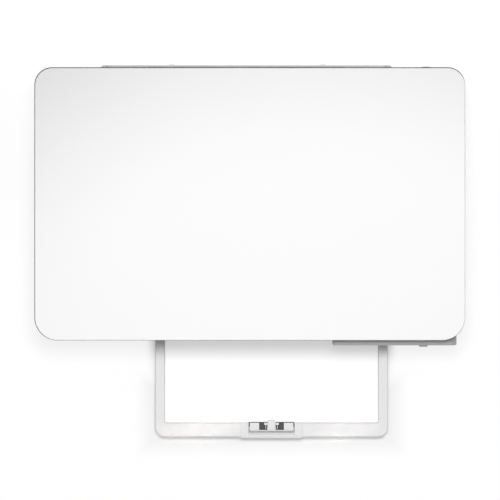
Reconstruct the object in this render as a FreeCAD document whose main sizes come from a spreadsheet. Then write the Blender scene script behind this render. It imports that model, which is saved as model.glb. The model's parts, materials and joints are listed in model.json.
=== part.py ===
import FreeCAD, Part
import math
import os
import re
import Sketcher

doc = FreeCAD.newDocument("inkjet_printer")

# Driving sizes in millimetres
SIZES = {
    # paper path and the bays around it
    "paper_width": 215.9,
    "paper_left_margin": 3.5,
    "paper_right_margin": 10.6,
    "left_bay": 95.7,
    "front_bay": 90.4,
    "back_bay": 156.0,
    # casing
    "foot_proud": 2.5,
    "wall": 2.4,
    "corner_front": 21.5,
    "corner_rear": 16.5,
    "bottom_round": 5.0,
    "top_round": 1.0,
    "seam_height": 40.0,
    "foot_radius": 8.0,
    "foot_peg": 2.5,
    "foot_inset_x": 29.7,
    "foot_inset_y": 35.0,
    "post_radius": 4.0,
    "post_inset_x": 10.7,
    "post_front": 16.5,
    "post_rear": 22.0,
    "boss_height": 16.0,
    "screw_radius": 1.5,
    "screw_length": 22.0,
    "screw_head_radius": 3.0,
    "screw_head_height": 1.8,
    "vent_count": 8,
    "vent_width": 2.2,
    "vent_pitch": 6.0,
    "vent_low": 14.0,
    "vent_below_seam": 8.0,
    "vent_back": 98.0,
    # clearances
    "running_gap": 0.06,
    "sliding_gap": 0.35,
    "seat_gap": 0.3,
    "wide_gap": 0.6,
    # lid and its hinges
    "lid_height": 7.6,
    "lid_gap": 0.8,
    "lid_inset": 0.8,
    "lid_edge_round": 1.2,
    "hinge_back": 3.4,
    "hinge_drop": 3.4,
    "hinge_pin_radius": 1.5,
    "knuckle_radius": 2.9,
    "knuckle_long": 14.0,
    "hinge_ear": 5.0,
    "hinge_inset": 44.7,
    "relief_depth": 10.0,
    "access_margin": 6.7,
    "access_front": 18.0,
    "access_behind_rail": 10.0,
    "grip_long": 50.0,
    "grip_deep": 2.0,
    "grip_tall": 3.0,
    "hopper_deep": 34.0,
    # control panel and buttons
    "panel_inset": 6.7,
    "panel_width": 113.0,
    "panel_proud": 5.6,
    "panel_inside": 8.0,
    "panel_drop": 9.6,
    "panel_tall": 24.0,
    "panel_round": 3.0,
    "panel_edge_round": 1.0,
    "panel_skin": 2.2,
    "panel_button_inset": 30.0,
    "panel_button_radius": 4.2,
    "panel_button_proud": 1.0,
    "button_flange": 1.4,
    "button_flange_thick": 1.8,
    "button_stem": 1.5,
    "button_stem_long": 3.0,
    "button_travel": 1.2,
    "lamp_radius": 1.5,
    "lamp_first": 25.0,
    "lamp_pitch": 10.0,
    "lamp_count": 3,
    "power_button_inset": 34.2,
    "power_button_radius": 5.0,
    "power_button_proud": 2.2,
    "rear_button_pitch": 16.5,
    "wireless_button_radius": 4.0,
    "wireless_button_proud": 1.0,
    "rear_button_drop": 20.6,
    "switch_tall": 5.0,
    "switch_margin": 11.0,
    "switch_board_tall": 18.0,
    "switch_size": 6.0,
    "board_thick": 1.6,
    # rear input tray, paper support and width guide
    "flap_left_out": 29.7,
    "flap_right_out": 1.9,
    "flap_thick": 6.0,
    "flap_proud": 2.8,
    "flap_axis_z": 12.0,
    "flap_skin": 1.15,
    "flap_pin_radius": 2.0,
    "flap_pin_long": 3.0,
    "flap_rib_width": 4.6,
    "flap_rib_left_in": 57.9,
    "flap_rib_right_in": 56.1,
    "flap_rib_proud": 0.7,
    "cheek_wide": 6.5,
    "cheek_deep": 8.0,
    "cheek_flat": 4.0,
    "cheek_taper": 4.5,
    "support_thick": 1.6,
    "support_inset": 35.5,
    "support_low": 18.0,
    "support_drop": 1.0,
    "guide_rail_deep": 3.0,
    "guide_rail_tall": 6.0,
    "guide_rail_drop": 15.0,
    "guide_rail_inset": 10.5,
    "guide_saddle": 15.0,
    "guide_wall": 2.0,
    "fin_tall": 26.0,
    "fin_drop": 5.0,
    "fin_deep": 12.0,
    # output tray and paper stop
    "tray_reach": 93.1,
    "tray_left_gap": 11.0,
    "tray_leg": 9.0,
    "tray_bar": 13.0,
    "tray_thick": 8.0,
    "tray_low": 7.0,
    "tray_corner": 9.0,
    "tray_inside": 46.0,
    "tray_edge_round": 1.0,
    "hook_out": 1.5,
    "hook_long": 8.0,
    "rail_wall": 1.8,
    "rail_outer": 1.15,
    "rail_roof": 1.25,
    "rail_front": 8.0,
    "rail_past": 39.6,
    "stop_proud": 1.4,
    "stop_housing": 58.0,
    "stop_rise": 0.4,
    "stop_wall": 5.6,
    "stop_cheek": 7.75,
    "stop_floor": 1.5,
    "stop_end_gap": 1.05,
    "stop_thick": 3.0,
    "stop_barrel": 2.8,
    "stop_pin": 1.3,
    "stop_pin_long": 4.0,
    "window_offset": 9.1,
    "window_width": 4.7,
    "window_long": 5.8,
    "window_lip": 1.2,
    "knob_width": 7.8,
    "knob_out": 2.5,
    "pad_width": 6.5,
    "pad_thick": 0.6,
    # mouth, side plates and rollers
    "mouth_inset": 1.5,
    "mouth_sill": 1.3,
    "plate_thick": 2.5,
    "plate_front": 5.0,
    "plate_rear_long": 50.0,
    "roller_lift": 1.9,
    "exit_gap": 50.4,
    "roller_radius": 6.0,
    "shaft_radius": 3.0,
    "bush_radius": 5.0,
    "bush_flange": 6.2,
    "bush_flange_thick": 1.0,
    "platen_gap": 0.5,
    "platen_drop": 0.3,
    "platen_rib": 1.2,
    "platen_rib_height": 1.0,
    "platen_rib_count": 9,
    "platen_rib_margin": 12.5,
    "print_gap": 1.5,
    "delivery_front": 2.7,
    "delivery_lip": 1.8,
    "delivery_rise": 2.0,
    "ramp_start": 12.0,
    "ramp_long": 52.0,
    "guide_thick": 2.2,
    "guide_end": 8.6,
    "guide_leg_start": 78.0,
    # drive
    "drive_width": 5.5,
    "drive_step": 0.5,
    "gear_module": 0.6,
    "tooth_root": 1.2,
    "tooth_tip": 0.85,
    "tooth_foot_share": 0.30,
    "tooth_tip_share": 0.10,
    "feed_teeth": 44,
    "idler_teeth": 36,
    "pinion_teeth": 12,
    "exit_pulley": 5.0,
    "pick_pulley": 8.0,
    "belt_thick": 1.2,
    "belt_width": 4.0,
    "bracket_thick": 2.0,
    "bracket_rise": 13.5,
    "bracket_margin": 8.0,
    "idler_axle": 2.5,
    "motor_shaft": 1.5,
    "feed_motor_radius": 12.0,
    "feed_motor_long": 26.0,
    "encoder_radius": 12.0,
    "encoder_thick": 1.0,
    "star_radius": 4.5,
    "star_thick": 1.0,
    "star_shaft": 1.2,
    "star_count": 8,
    "star_margin": 16.0,
    "star_bar_deep": 11.0,
    "star_bar_lift": 1.9,
    "star_bar_tall": 4.3,
    "nip_gap": 0.3,
    "pinch_radius": 4.0,
    "pinch_shaft": 1.5,
    "pinch_width": 30.0,
    "pinch_count": 4,
    "pinch_margin": 11.0,
    "pinch_arm": 6.0,
    "pinch_arm_drop": 2.2,
    "pinch_plate": 1.5,
    "pinch_plate_inset": 4.0,
    "pick_back": 16.5,
    "pick_radius": 12.0,
    "pick_half": 18.0,
    "upright_thick": 3.0,
    "upright_half": 7.6,
    "upright_rise": 7.5,
    "separation_half": 7.4,
    "separation_thick": 1.4,
    # carriage, rail and belt
    "rail_plate_behind": 20.0,
    "rail_plate_thick": 3.0,
    "rail_plate_tall": 33.4,
    "rail_plate_left_out": 66.0,
    "rail_plate_inset": 6.7,
    "rail_leg": 14.0,
    "rail_leg_left_out": 61.0,
    "rail_foot": 9.0,
    "flange_thick": 2.0,
    "flange_deep": 23.0,
    "belt_motor_out": 48.0,
    "belt_idler_inset": 8.0,
    "belt_behind": 11.0,
    "belt_drop": 16.5,
    "belt_tall": 5.0,
    "belt_pulley": 5.0,
    "pulley_rim": 0.8,
    "pulley_lift": 1.7,
    "motor_clear": 1.5,
    "carriage_motor_radius": 10.5,
    "carriage_half": 30.0,
    "carriage_side_gap": 4.5,
    "carriage_long": 61.65,
    "carriage_drop": 2.0,
    "carriage_floor": 2.0,
    "carriage_front_wall": 1.6,
    "pocket_long": 48.4,
    "cartridge_pitch": 25.0,
    "cartridge_half": 11.0,
    "cartridge_drop": 0.5,
    "pocket_gap": 0.4,
    "nose_inset": 7.0,
    "nose_long": 18.0,
    "nose_half": 9.0,
    "tower_half": 23.0,
    "tower_deep": 9.2,
    "tower_roof": 4.15,
    "tower_gap": 1.7,
    "hook_lip": 2.6,
    "hook_lip_tall": 14.0,
    "clip_half": 8.0,
    "clip_below": 1.5,
    "clip_above": 8.3,
    "clip_rear_wall": 2.4,
    "strip_ahead": 7.0,
    "strip_thick": 0.4,
    "strip_tall": 3.0,
    "strip_drop": 1.2,
    "strip_slot": 0.5,
    "strip_bracket": 4.0,
    "latch_rise": 3.0,
    "latch_back": 4.0,
    "latch_long": 28.0,
    "latch_side_gap": 0.2,
    "latch_barrel": 1.6,
    "latch_pin": 1.1,
    "latch_pin_long": 1.5,
    "latch_ear_half": 3.5,
    "latch_ear_rise": 2.5,
    # service station
    "service_side": 26.0,
    "service_front_room": 9.4,
    "service_top": 20.0,
    "service_wall": 1.6,
    "service_floor": 3.0,
    "sled_travel": 5.0,
    "cap_margin": 0.25,
    "cap_tall": 5.4,
    "cap_wall": 1.6,
    "cap_gap": 0.3,
    # electronics
    "board_gap": 2.0,
    "board_right_out": 41.0,
    "board_front_gap": 4.0,
    "board_back": 4.0,
    "board_z": 10.0,
    "board_boss": 3.0,
    "chip_size": 16.0,
    "chip_thick": 2.0,
    "header_wide": 22.0,
    "header_deep": 5.0,
    "header_tall": 6.0,
    "usb_half": 6.0,
    "usb_tall": 11.0,
    "usb_deep": 16.0,
    "usb_tongue": 5.5,
    "usb_mouth": 6.0,
    "inlet_inset": 42.7,
    "inlet_half": 13.0,
    "inlet_low": 14.0,
    "inlet_tall": 16.0,
    "inlet_deep": 24.0,
    "inlet_lobe": 4.2,
    "inlet_lobe_offset": 4.0,
    "inlet_socket": 12.0,
    "inlet_pin": 1.2,
    "inlet_pin_long": 9.0,
    "supply_gap": 2.0,
    "supply_side": 4.3,
    "supply_tall": 37.1,
}

# Places that follow from the sizes; X runs right, Y back, Z up, origin below the middle of the whole object
PLACES = {
    "plate_span": "paper_width + paper_left_margin + paper_right_margin",
    "right_bay": "plate_thick + bush_flange_thick + 2 * drive_step + encoder_thick + service_wall"
                 " + sliding_gap + cap_margin + nose_half + cartridge_pitch / 2 + carriage_half"
                 " + carriage_side_gap",
    "right_x": "(left_bay + plate_span + right_bay) / 2",
    "left_x": "-right_x",
    "plate_left": "left_x + left_bay",
    "plate_right": "plate_left + plate_span",
    "paper_left": "plate_left + paper_left_margin",
    "paper_right": "plate_right - paper_right_margin",
    "rear_reach": "flap_proud + flap_rib_proud",
    "front_y": "(tray_reach - rear_reach - front_bay - back_bay) / 2",
    "feed_y": "front_y + front_bay",
    "rear_y": "feed_y + back_bay",
    "floor_z": "foot_proud + wall",
    # output tray and its rails
    "tray_left": "plate_left + tray_left_gap",
    "tray_right": "plate_right - sliding_gap - hook_out - rail_outer",
    "tray_centre": "(tray_left + tray_right) / 2",
    "tray_front": "front_y - tray_reach + stop_proud",
    "bar_inner": "tray_front + tray_bar",
    "tray_end": "front_y + tray_inside",
    "tray_top": "tray_low + tray_thick",
    "stop_front": "front_y - tray_reach",
    "well_front": "stop_front + stop_wall",
    "well_floor": "tray_low + stop_floor",
    "stop_well": "stop_housing - 2 * stop_cheek",
    "stop_width": "stop_well - 2 * stop_end_gap",
    "stop_axis_y": "well_front + seat_gap + stop_barrel",
    "stop_axis_z": "tray_top - stop_barrel",
    "rail_top": "tray_top + sliding_gap + rail_roof",
    "rail_start": "front_y + rail_front",
    "rail_end": "feed_y + rail_past",
    "mouth_left": "plate_left + mouth_inset",
    "mouth_right": "plate_right",
    "mouth_low": "floor_z + mouth_sill",
    # rollers and drive
    "roller_z": "rail_top + roller_radius + roller_lift",
    "exit_y": "feed_y - exit_gap",
    "roller_left": "plate_left + wide_gap",
    "roller_right": "plate_right - wide_gap",
    "inner_left": "plate_left + seat_gap",
    "inner_right": "plate_right - seat_gap",
    "plate_rear": "feed_y + plate_rear_long",
    "plate_top": "roller_z + bush_flange + seat_gap",
    "bush_left": "plate_left - plate_thick - bush_flange_thick",
    "bush_right": "plate_right + plate_thick + bush_flange_thick",
    "pulley_right": "bush_left - drive_step",
    "pulley_left": "pulley_right - drive_width",
    "gear_right": "pulley_left - drive_step",
    "gear_left": "gear_right - drive_width",
    "belt_left": "(pulley_left + pulley_right - belt_width) / 2",
    "bracket_right": "gear_left - drive_step - motor_shaft",
    "bracket_left": "bracket_right - bracket_thick",
    "bracket_top": "roller_z + bracket_rise",
    "idler_y": "feed_y + gear_module * (feed_teeth + idler_teeth) / 2",
    "bracket_front": "idler_y - bracket_margin",
    "pinion_y": "idler_y + gear_module * (idler_teeth + pinion_teeth) / 2",
    "pick_y": "rear_y - pick_back",
    "pick_centre": "(paper_left + paper_right) / 2",
    "star_z": "roller_z + roller_radius + nip_gap + star_radius",
    "star_pitch": "(plate_span - 2 * star_margin) / (star_count - 1)",
    "star_bar_low": "star_z + star_bar_lift",
    "star_bar_top": "star_bar_low + star_bar_tall",
    "pinch_z": "roller_z + roller_radius + nip_gap + pinch_radius",
    "pinch_pitch": "(plate_span - 2 * pinch_margin) / pinch_count",
    "pinch_first": "plate_left + pinch_margin + pinch_pitch / 2",
    "platen_front": "exit_y + roller_radius + platen_gap",
    "platen_rear": "feed_y - roller_radius - platen_gap",
    "platen_top": "roller_z + roller_radius - platen_drop",
    "platen_rib_pitch": "(inner_right - inner_left - 2 * platen_rib_margin - platen_rib)"
                        " / (platen_rib_count - 1)",
    "guide_low": "roller_z - pick_radius - nip_gap",
    "guide_under": "guide_low - guide_thick",
    "guide_back": "rear_y - guide_end",
    "ramp_top_y": "feed_y + ramp_start",
    "ramp_low_y": "ramp_top_y + ramp_long",
    # carriage and rail
    "rail_plate_low": "pinch_z + pinch_radius + seat_gap + pinch_plate",
    "rail_plate_high": "rail_plate_low + rail_plate_tall",
    "rail_plate_front": "feed_y + rail_plate_behind",
    "rail_plate_rear": "rail_plate_front + rail_plate_thick",
    "rail_plate_left": "plate_left - rail_plate_left_out",
    "rail_plate_right": "right_x - rail_plate_inset",
    "service_left": "bush_right + 2 * drive_step + encoder_thick",
    "rail_leg_left": "plate_left - rail_leg_left_out",
    "belt_motor_x": "plate_left - belt_motor_out",
    "belt_idler_x": "rail_plate_right - belt_idler_inset",
    "belt_y": "rail_plate_rear + belt_behind",
    "belt_low": "rail_plate_high - belt_drop",
    "belt_high": "belt_low + belt_tall",
    "pulley_top": "belt_high + pulley_rim",
    "pulley_low": "belt_low - pulley_rim",
    "flange_top": "pulley_low - pulley_lift",
    "flange_low": "flange_top - flange_thick",
    "carriage_motor_low": "roller_z + feed_motor_radius + motor_clear",
    "belt_run_rear": "belt_y - belt_pulley",
    "belt_run_front": "belt_run_rear - belt_thick",
    "park_x": "service_left + service_wall + sliding_gap + cap_margin + nose_half + cartridge_pitch / 2",
    "carriage_rear": "rail_plate_front - sliding_gap",
    "carriage_front": "carriage_rear - carriage_long",
    "carriage_low": "rail_plate_low + wide_gap",
    "carriage_high": "rail_plate_high - carriage_drop",
    "pocket_floor": "carriage_low + carriage_floor",
    "pocket_front": "carriage_front + carriage_front_wall",
    "pocket_rear": "pocket_front + pocket_long",
    "nose_front": "carriage_front + nose_inset",
    "nose_rear": "nose_front + nose_long",
    "nozzle_z": "platen_top + print_gap",
    "cartridge_top": "carriage_high - cartridge_drop",
    "tower_front": "carriage_rear - tower_deep",
    "tower_top": "rail_plate_high + sliding_gap + tower_roof",
    "hook_lip_low": "rail_plate_high - hook_lip_tall",
    "clip_low": "belt_low - clip_below",
    "clip_high": "belt_low + clip_above",
    "clip_rear": "belt_run_rear + clip_rear_wall",
    "strip_y": "rail_plate_front - strip_ahead",
    "strip_low": "rail_plate_high - strip_drop",
    "strip_high": "strip_low + strip_tall",
    "black_x": "park_x - cartridge_pitch / 2",
    "colour_x": "park_x + cartridge_pitch / 2",
    "latch_axis_y": "pocket_rear - latch_back",
    "latch_axis_z": "carriage_high + latch_rise",
    "latch_front": "latch_axis_y - latch_long",
    "latch_half": "cartridge_half - latch_side_gap",
    "latch_ear_top": "latch_axis_z + latch_ear_rise",
    # service station
    "service_right": "park_x + service_side",
    "service_front": "nose_front - service_front_room - service_wall",
    "service_rear": "feed_y - encoder_radius - seat_gap",
    "sled_top": "nozzle_z - cap_gap - cap_tall",
    "sled_low": "floor_z + service_floor + sled_travel + seat_gap",
    # casing heights, lid and hinges
    "deck_under_z": "tower_top + tower_gap",
    "deck_z": "deck_under_z + wall",
    "lid_z": "deck_z + lid_gap",
    "lid_top": "lid_z + lid_height",
    "hinge_x": "right_x - hinge_inset",
    "hinge_y": "rear_y - hinge_back",
    "hinge_z": "lid_z - hinge_drop",
    "relief_height": "hinge_z - knuckle_radius - wide_gap",
    "access_rear": "rail_plate_rear + access_behind_rail",
    "vent_start": "rear_y - vent_back",
    "vent_high": "seam_height - vent_below_seam",
    # rear tray
    "flap_left": "plate_left - flap_left_out",
    "flap_right": "paper_right + flap_right_out",
    "flap_top": "relief_height",
    "flap_back": "rear_y + flap_proud",
    "flap_inner": "flap_back - flap_thick",
    "flap_axis_y": "flap_back - flap_thick / 2",
    "flap_rib_left": "flap_left + flap_rib_left_in",
    "flap_rib_right": "flap_right - flap_rib_right_in",
    "sill_z": "flap_axis_z - flap_thick / 2 - wide_gap",
    "support_left": "flap_left + support_inset",
    "support_right": "flap_right - support_inset",
    "support_middle": "(support_left + support_right) / 2",
    "support_back": "flap_back - flap_skin - sliding_gap",
    "support_front": "support_back - support_thick",
    "support_top": "flap_top - support_drop",
    "guide_rail_left": "flap_left + guide_rail_inset",
    "guide_rail_right": "flap_right - guide_rail_inset",
    "guide_rail_high": "flap_top - guide_rail_drop",
    "guide_rail_low": "guide_rail_high - guide_rail_tall",
    "fin_high": "flap_top - fin_drop",
    "fin_low": "fin_high - fin_tall",
    # panel and buttons
    "panel_right": "right_x - panel_inset",
    "panel_left": "panel_right - panel_width",
    "panel_y": "front_y - panel_proud",
    "panel_high": "deck_z - panel_drop",
    "panel_low": "panel_high - panel_tall",
    "panel_mid_z": "(panel_low + panel_high) / 2",
    "panel_button_x": "panel_right - panel_button_inset",
    "power_button_x": "right_x - power_button_inset",
    "wireless_button_x": "power_button_x - rear_button_pitch",
    "rear_button_z": "deck_z - rear_button_drop",
    "stem_end": "rear_y - wall - seat_gap - button_flange_thick - button_stem_long - button_travel",
    "switch_board_y": "stem_end - seat_gap - switch_tall",
    "switch_board_left": "wireless_button_x - switch_margin",
    "switch_board_right": "power_button_x + switch_margin",
    "switch_board_low": "rear_button_z - switch_board_tall / 2",
    "switch_board_high": "rear_button_z + switch_board_tall / 2",
    # electronics
    "board_left": "left_x + post_inset_x + post_radius + board_gap",
    "board_right": "plate_left - board_right_out",
    "board_front": "plate_rear + board_front_gap",
    "board_top": "board_z + board_thick",
    "board_rear": "rear_y - board_back",
    "board_middle": "(board_left + board_right) / 2",
    "usb_x": "board_middle",
    "usb_top": "board_top + usb_tall",
    "inlet_x": "right_x - inlet_inset",
    "inlet_top": "inlet_low + inlet_tall",
    "inlet_z": "inlet_low + inlet_tall / 2",
    "supply_left": "service_left + seat_gap",
    "supply_right": "right_x - wall - supply_side",
    "supply_front": "plate_rear",
    "supply_rear": "rear_y - post_rear - post_radius - supply_gap",
    "supply_top": "floor_z + supply_tall",
}

MATHS = {"sqrt", "sin", "cos", "tan"}


def bound(text):
    """A formula with each name written as a reference to its sheet."""
    def reference(found):
        word = found.group(0)
        if word in MATHS:
            return word
        return ("sizes." if word in SIZES else "places.") + word
    return re.sub(r"[a-z][a-z_0-9]*", reference, text)


def write_sheet(name, rows, formula):
    """A sheet with one aliased cell for each row."""
    made = doc.addObject("Spreadsheet::Sheet", name)
    for number, (alias, content) in enumerate(rows.items(), start=1):
        made.set(f"A{number}", alias)
        made.set(f"B{number}", "=" + bound(content) if formula else str(content))
        made.setAlias(f"B{number}", alias)
    return made


sizes = write_sheet("sizes", SIZES, False)
doc.recompute()
places = write_sheet("places", PLACES, True)
doc.recompute()


def value(text):
    """The number a formula gives with the sheets as they are."""
    return float(places.evalExpression(bound(text)))


# Building helpers
TURNS = {
    "x": FreeCAD.Rotation(FreeCAD.Vector(0, 1, 0), 90),
    "y": FreeCAD.Rotation(FreeCAD.Vector(1, 0, 0), -90),
    "z": FreeCAD.Rotation(),
}
PLANES = {"x": "YZ_Plane", "y": "XZ_Plane", "z": "XY_Plane"}
nodes = []


def block(name, x, y, z):
    """A box between a low and a high plane on each axis."""
    made = doc.addObject("Part::Box", name)
    for axis, side, (low, high) in zip("xyz", ("Length", "Width", "Height"), (x, y, z)):
        made.setExpression(side, bound(f"({high}) - ({low})"))
        made.setExpression(f"Placement.Base.{axis}", bound(low))
    return made


def rod(name, axis, across, span, radius):
    """A cylinder along one axis; across gives its place on the other two, in order."""
    made = doc.addObject("Part::Cylinder", name)
    made.Placement = FreeCAD.Placement(FreeCAD.Vector(), TURNS[axis])
    others = [letter for letter in "xyz" if letter != axis]
    for letter, place in zip(others, across):
        made.setExpression(f"Placement.Base.{letter}", bound(place))
    made.setExpression(f"Placement.Base.{axis}", bound(span[0]))
    made.setExpression("Height", bound(f"({span[1]}) - ({span[0]})"))
    made.setExpression("Radius", bound(radius))
    return made


def fuse(name, *pieces):
    """Several solids joined into one."""
    made = doc.addObject("Part::MultiFuse", name)
    made.Shapes = list(pieces)
    made.Refine = True
    return made


def cut(name, base, *tools):
    """A solid with others taken out of it."""
    made = doc.addObject("Part::Cut", name)
    made.Base = base
    made.Tool = tools[0] if len(tools) == 1 else fuse(name + "_tools", *tools)
    made.Refine = True
    return made


def group(name, *pieces):
    """Loose pieces of one kind kept together as one node."""
    made = doc.addObject("Part::Compound", name)
    made.Links = list(pieces)
    return made


def prism(name, axis, corners, span):
    """A polygon drawn across one axis and padded along it."""
    body = doc.addObject("PartDesign::Body", name)
    sketch = body.newObject("Sketcher::SketchObject", name + "_sketch")
    plane = [item for item in body.Origin.OriginFeatures if item.Role == PLANES[axis]]
    sketch.AttachmentSupport = [(plane[0], "")]
    sketch.MapMode = "FlatFace"
    start = f"-({span[1]})" if axis == "y" else span[0]
    sketch.setExpression("AttachmentOffset.Base.z", bound(start))
    points = [FreeCAD.Vector(value(first), value(second), 0) for first, second in corners]
    count = len(points)
    for index in range(count):
        sketch.addGeometry(Part.LineSegment(points[index], points[(index + 1) % count]))
    for index in range(count):
        sketch.addConstraint(Sketcher.Constraint("Coincident", index, 2, (index + 1) % count, 1))
    for index, corner in enumerate(corners):
        for kind, text, number in zip(("DistanceX", "DistanceY"), corner, points[index]):
            place = sketch.addConstraint(Sketcher.Constraint(kind, -1, 1, index, 1, number))
            sketch.setExpression(f"Constraints[{place}]", bound(text))
    pad = body.newObject("PartDesign::Pad", name + "_pad")
    pad.Profile = sketch
    pad.setExpression("Length", bound(f"({span[1]}) - ({span[0]})"))
    doc.recompute()
    return body


def soften(body, radius, wanted):
    """Round the edges of a body that the test wants."""
    base = body.Tip
    names = [f"Edge{number}" for number, edge in enumerate(base.Shape.Edges, start=1) if wanted(edge)]
    made = body.newObject("PartDesign::Fillet", f"{base.Name}_round")
    made.Base = (base, names)
    made.setExpression("Radius", bound(radius))
    doc.recompute()
    return body


def upright(edge, low, high):
    """True for a vertical edge whose Y lies between two formulas."""
    box = edge.BoundBox
    near = value("running_gap")
    return box.ZLength > max(box.XLength,
                             box.YLength) and value(low) - near <= box.Center.y <= value(high) + near


def level(edge, height):
    """True for an edge lying wholly at one height."""
    near = value("running_gap")
    return edge.BoundBox.ZLength < near and abs(edge.BoundBox.ZMin - value(height)) < near


def rounded(name, x, y, z, front, rear):
    """A box with its front and rear upright edges rounded."""
    corners = [(x[0], y[0]), (x[1], y[0]), (x[1], y[1]), (x[0], y[1])]
    body = prism(name, "z", corners, z)
    middle = f"(({y[0]}) + ({y[1]})) / 2"
    soften(body, front, lambda edge: upright(edge, y[0], middle))
    soften(body, rear, lambda edge: upright(edge, middle, y[1]))
    return body


def spur_gear(name, teeth, centre_y, span, turned, bore):
    """A spur gear about X; turned moves it by half a tooth."""
    count = int(value(teeth))
    module = value("gear_module")
    pitch = module * count / 2
    inner = pitch - value("tooth_root") * module
    outer = pitch + value("tooth_tip") * module
    foot, tip = value("tooth_foot_share"), value("tooth_tip_share")
    step = 2 * math.pi / count
    points = []
    for tooth in range(count):
        middle = tooth * step + (step / 2 if turned else 0)
        for share, radius in ((-foot, inner), (-tip, outer), (tip, outer), (foot, inner)):
            angle = middle + share * step
            points.append(FreeCAD.Vector(value(span[0]), value(centre_y) + radius * math.cos(angle),
                                         value("roller_z") + radius * math.sin(angle)))
    face = Part.Face(Part.makePolygon(points + points[:1]))
    width = value(span[1]) - value(span[0])
    disc = doc.addObject("Part::Feature", name)
    disc.Shape = face.extrude(FreeCAD.Vector(width, 0, 0))
    hole = rod(name + "_bore", "x", (centre_y, "roller_z"), span, bore)
    return cut(name + "_bored", disc, hole)


def belt_loop(name, axis, ends, level_place, span, radius):
    """A flat belt round two equal pulleys that stand apart along the first axis across it."""
    def outline(tag, reach):
        low, high = ends
        if axis == "x":
            middle = block(f"{name}_{tag}_run", span, (low, high),
                           (f"{level_place} - ({reach})", f"{level_place} + ({reach})"))
        else:
            middle = block(f"{name}_{tag}_run", (low, high),
                           (f"{level_place} - ({reach})", f"{level_place} + ({reach})"), span)
        first = rod(f"{name}_{tag}_low", axis, (low, level_place), span, reach)
        second = rod(f"{name}_{tag}_high", axis, (high, level_place), span, reach)
        return fuse(f"{name}_{tag}", middle, first, second)
    inside = outline("inside", f"{radius} + running_gap")
    return cut(name, outline("outside", f"{radius} + running_gap + belt_thick"), inside)


def publish(label, made):
    """Name a finished piece and list it for export."""
    made.Label = label
    nodes.append(made)


# Spans used by several casing pieces
ACROSS = ("left_x", "right_x")
ALONG = ("front_y", "rear_y")
INSIDE_X = ("left_x + wall", "right_x - wall")
INSIDE_Y = ("front_y + wall", "rear_y - wall")
POSTS = [(f"{side} * (right_x - post_inset_x)", place) for side in ("-1", "1")
         for place in ("front_y + post_front", "rear_y - post_rear")]
FEET = [(f"{side} * (right_x - foot_inset_x)", place) for side in ("-1", "1")
        for place in ("front_y + foot_inset_y", "rear_y - foot_inset_y")]
FLAP_SPAN = ("flap_left - wide_gap", "flap_right + wide_gap")


def cheeks(name, z):
    """The two casing cheeks that carry the rear tray, with their sloping outer ends."""
    made = []
    for side, edge, way in (("left", FLAP_SPAN[0], "-1"), ("right", FLAP_SPAN[1], "1")):
        corners = [(edge, "rear_y - cheek_deep"), (edge, "flap_back"),
                   (f"{edge} + {way} * cheek_flat", "flap_back"),
                   (f"{edge} + {way} * (cheek_flat + cheek_taper)", "rear_y - wall / 2"),
                   (f"{edge} + {way} * cheek_wide", "rear_y - cheek_deep")]
        made.append(prism(f"{name}_{side}", "z", corners, z))
    return made


# Lower casing
lower_shell = rounded("lower_shell", ACROSS, ALONG, ("foot_proud", "seam_height"), "corner_front",
                      "corner_rear")
soften(lower_shell, "bottom_round", lambda edge: level(edge, "foot_proud"))
lower_hollow = rounded("lower_hollow", INSIDE_X, INSIDE_Y, ("floor_z", "seam_height + wall"),
                       "corner_front - wall", "corner_rear - wall")
soften(lower_hollow, "bottom_round - wall", lambda edge: level(edge, "floor_z"))
mouth = block("mouth", ("mouth_left", "mouth_right"), ("front_y - wall", "front_y + corner_front"),
              ("mouth_low", "seam_height + wall"))
rear_gap = block("rear_gap", FLAP_SPAN, ("rear_y - hopper_deep", "rear_y + wall"),
                 ("sill_z", "seam_height + wall"))
usb_window = block("usb_window", ("usb_x - usb_half - seat_gap", "usb_x + usb_half + seat_gap"),
                   ("rear_y - 2 * wall", "rear_y + wall"), ("board_top - seat_gap", "usb_top + seat_gap"))
inlet_window = block("inlet_window", ("inlet_x - inlet_half - seat_gap", "inlet_x + inlet_half + seat_gap"),
                     ("rear_y - 2 * wall", "rear_y + wall"),
                     ("inlet_low - seat_gap", "inlet_top + seat_gap"))
vents = [block(f"vent_{number}", ("left_x - wall", "left_x + 2 * wall"),
               (f"vent_start + {number} * vent_pitch", f"vent_start + {number} * vent_pitch + vent_width"),
               ("vent_low", "vent_high")) for number in range(int(SIZES["vent_count"]))]
foot_holes = [rod(f"foot_hole_{number}", "z", place, ("0", "floor_z + wall"), "foot_peg + running_gap")
              for number, place in enumerate(FEET)]
bosses = [rod(f"boss_{number}", "z", place, ("foot_proud + wall / 2", "boss_height"), "post_radius")
          for number, place in enumerate(POSTS)]
boss_holes = [rod(f"boss_hole_{number}", "z", place, ("0", "boss_height + wall"),
                  "screw_radius + running_gap") for number, place in enumerate(POSTS)]
head_holes = [rod(f"head_hole_{number}", "z", place, ("0", "foot_proud + screw_head_height"),
                  "screw_head_radius + seat_gap") for number, place in enumerate(POSTS)]
board_posts = [rod(f"board_post_{number}", "z", place, ("floor_z - wall / 2", "board_z"), "board_boss")
               for number, place in enumerate([(x, y)
                                               for x in ("board_left + board_boss",
                                                         "board_right - board_boss")
                                               for y in ("board_front + board_boss",
                                                         "board_rear - 2 * board_boss")])]
inlet_stand = block("inlet_stand", ("inlet_x - inlet_half / 2", "inlet_x + inlet_half / 2"),
                    ("rear_y - inlet_deep", "rear_y - 2 * wall"), ("floor_z - wall / 2", "inlet_low"))
flap_bores = rod("flap_bores", "x", ("flap_axis_y", "flap_axis_z"),
                 ("flap_left - flap_pin_long - wide_gap", "flap_right + flap_pin_long + wide_gap"),
                 "flap_pin_radius + running_gap")
lower_open = cut("lower_open", lower_shell, lower_hollow, mouth, rear_gap, usb_window, inlet_window, *vents)
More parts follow.
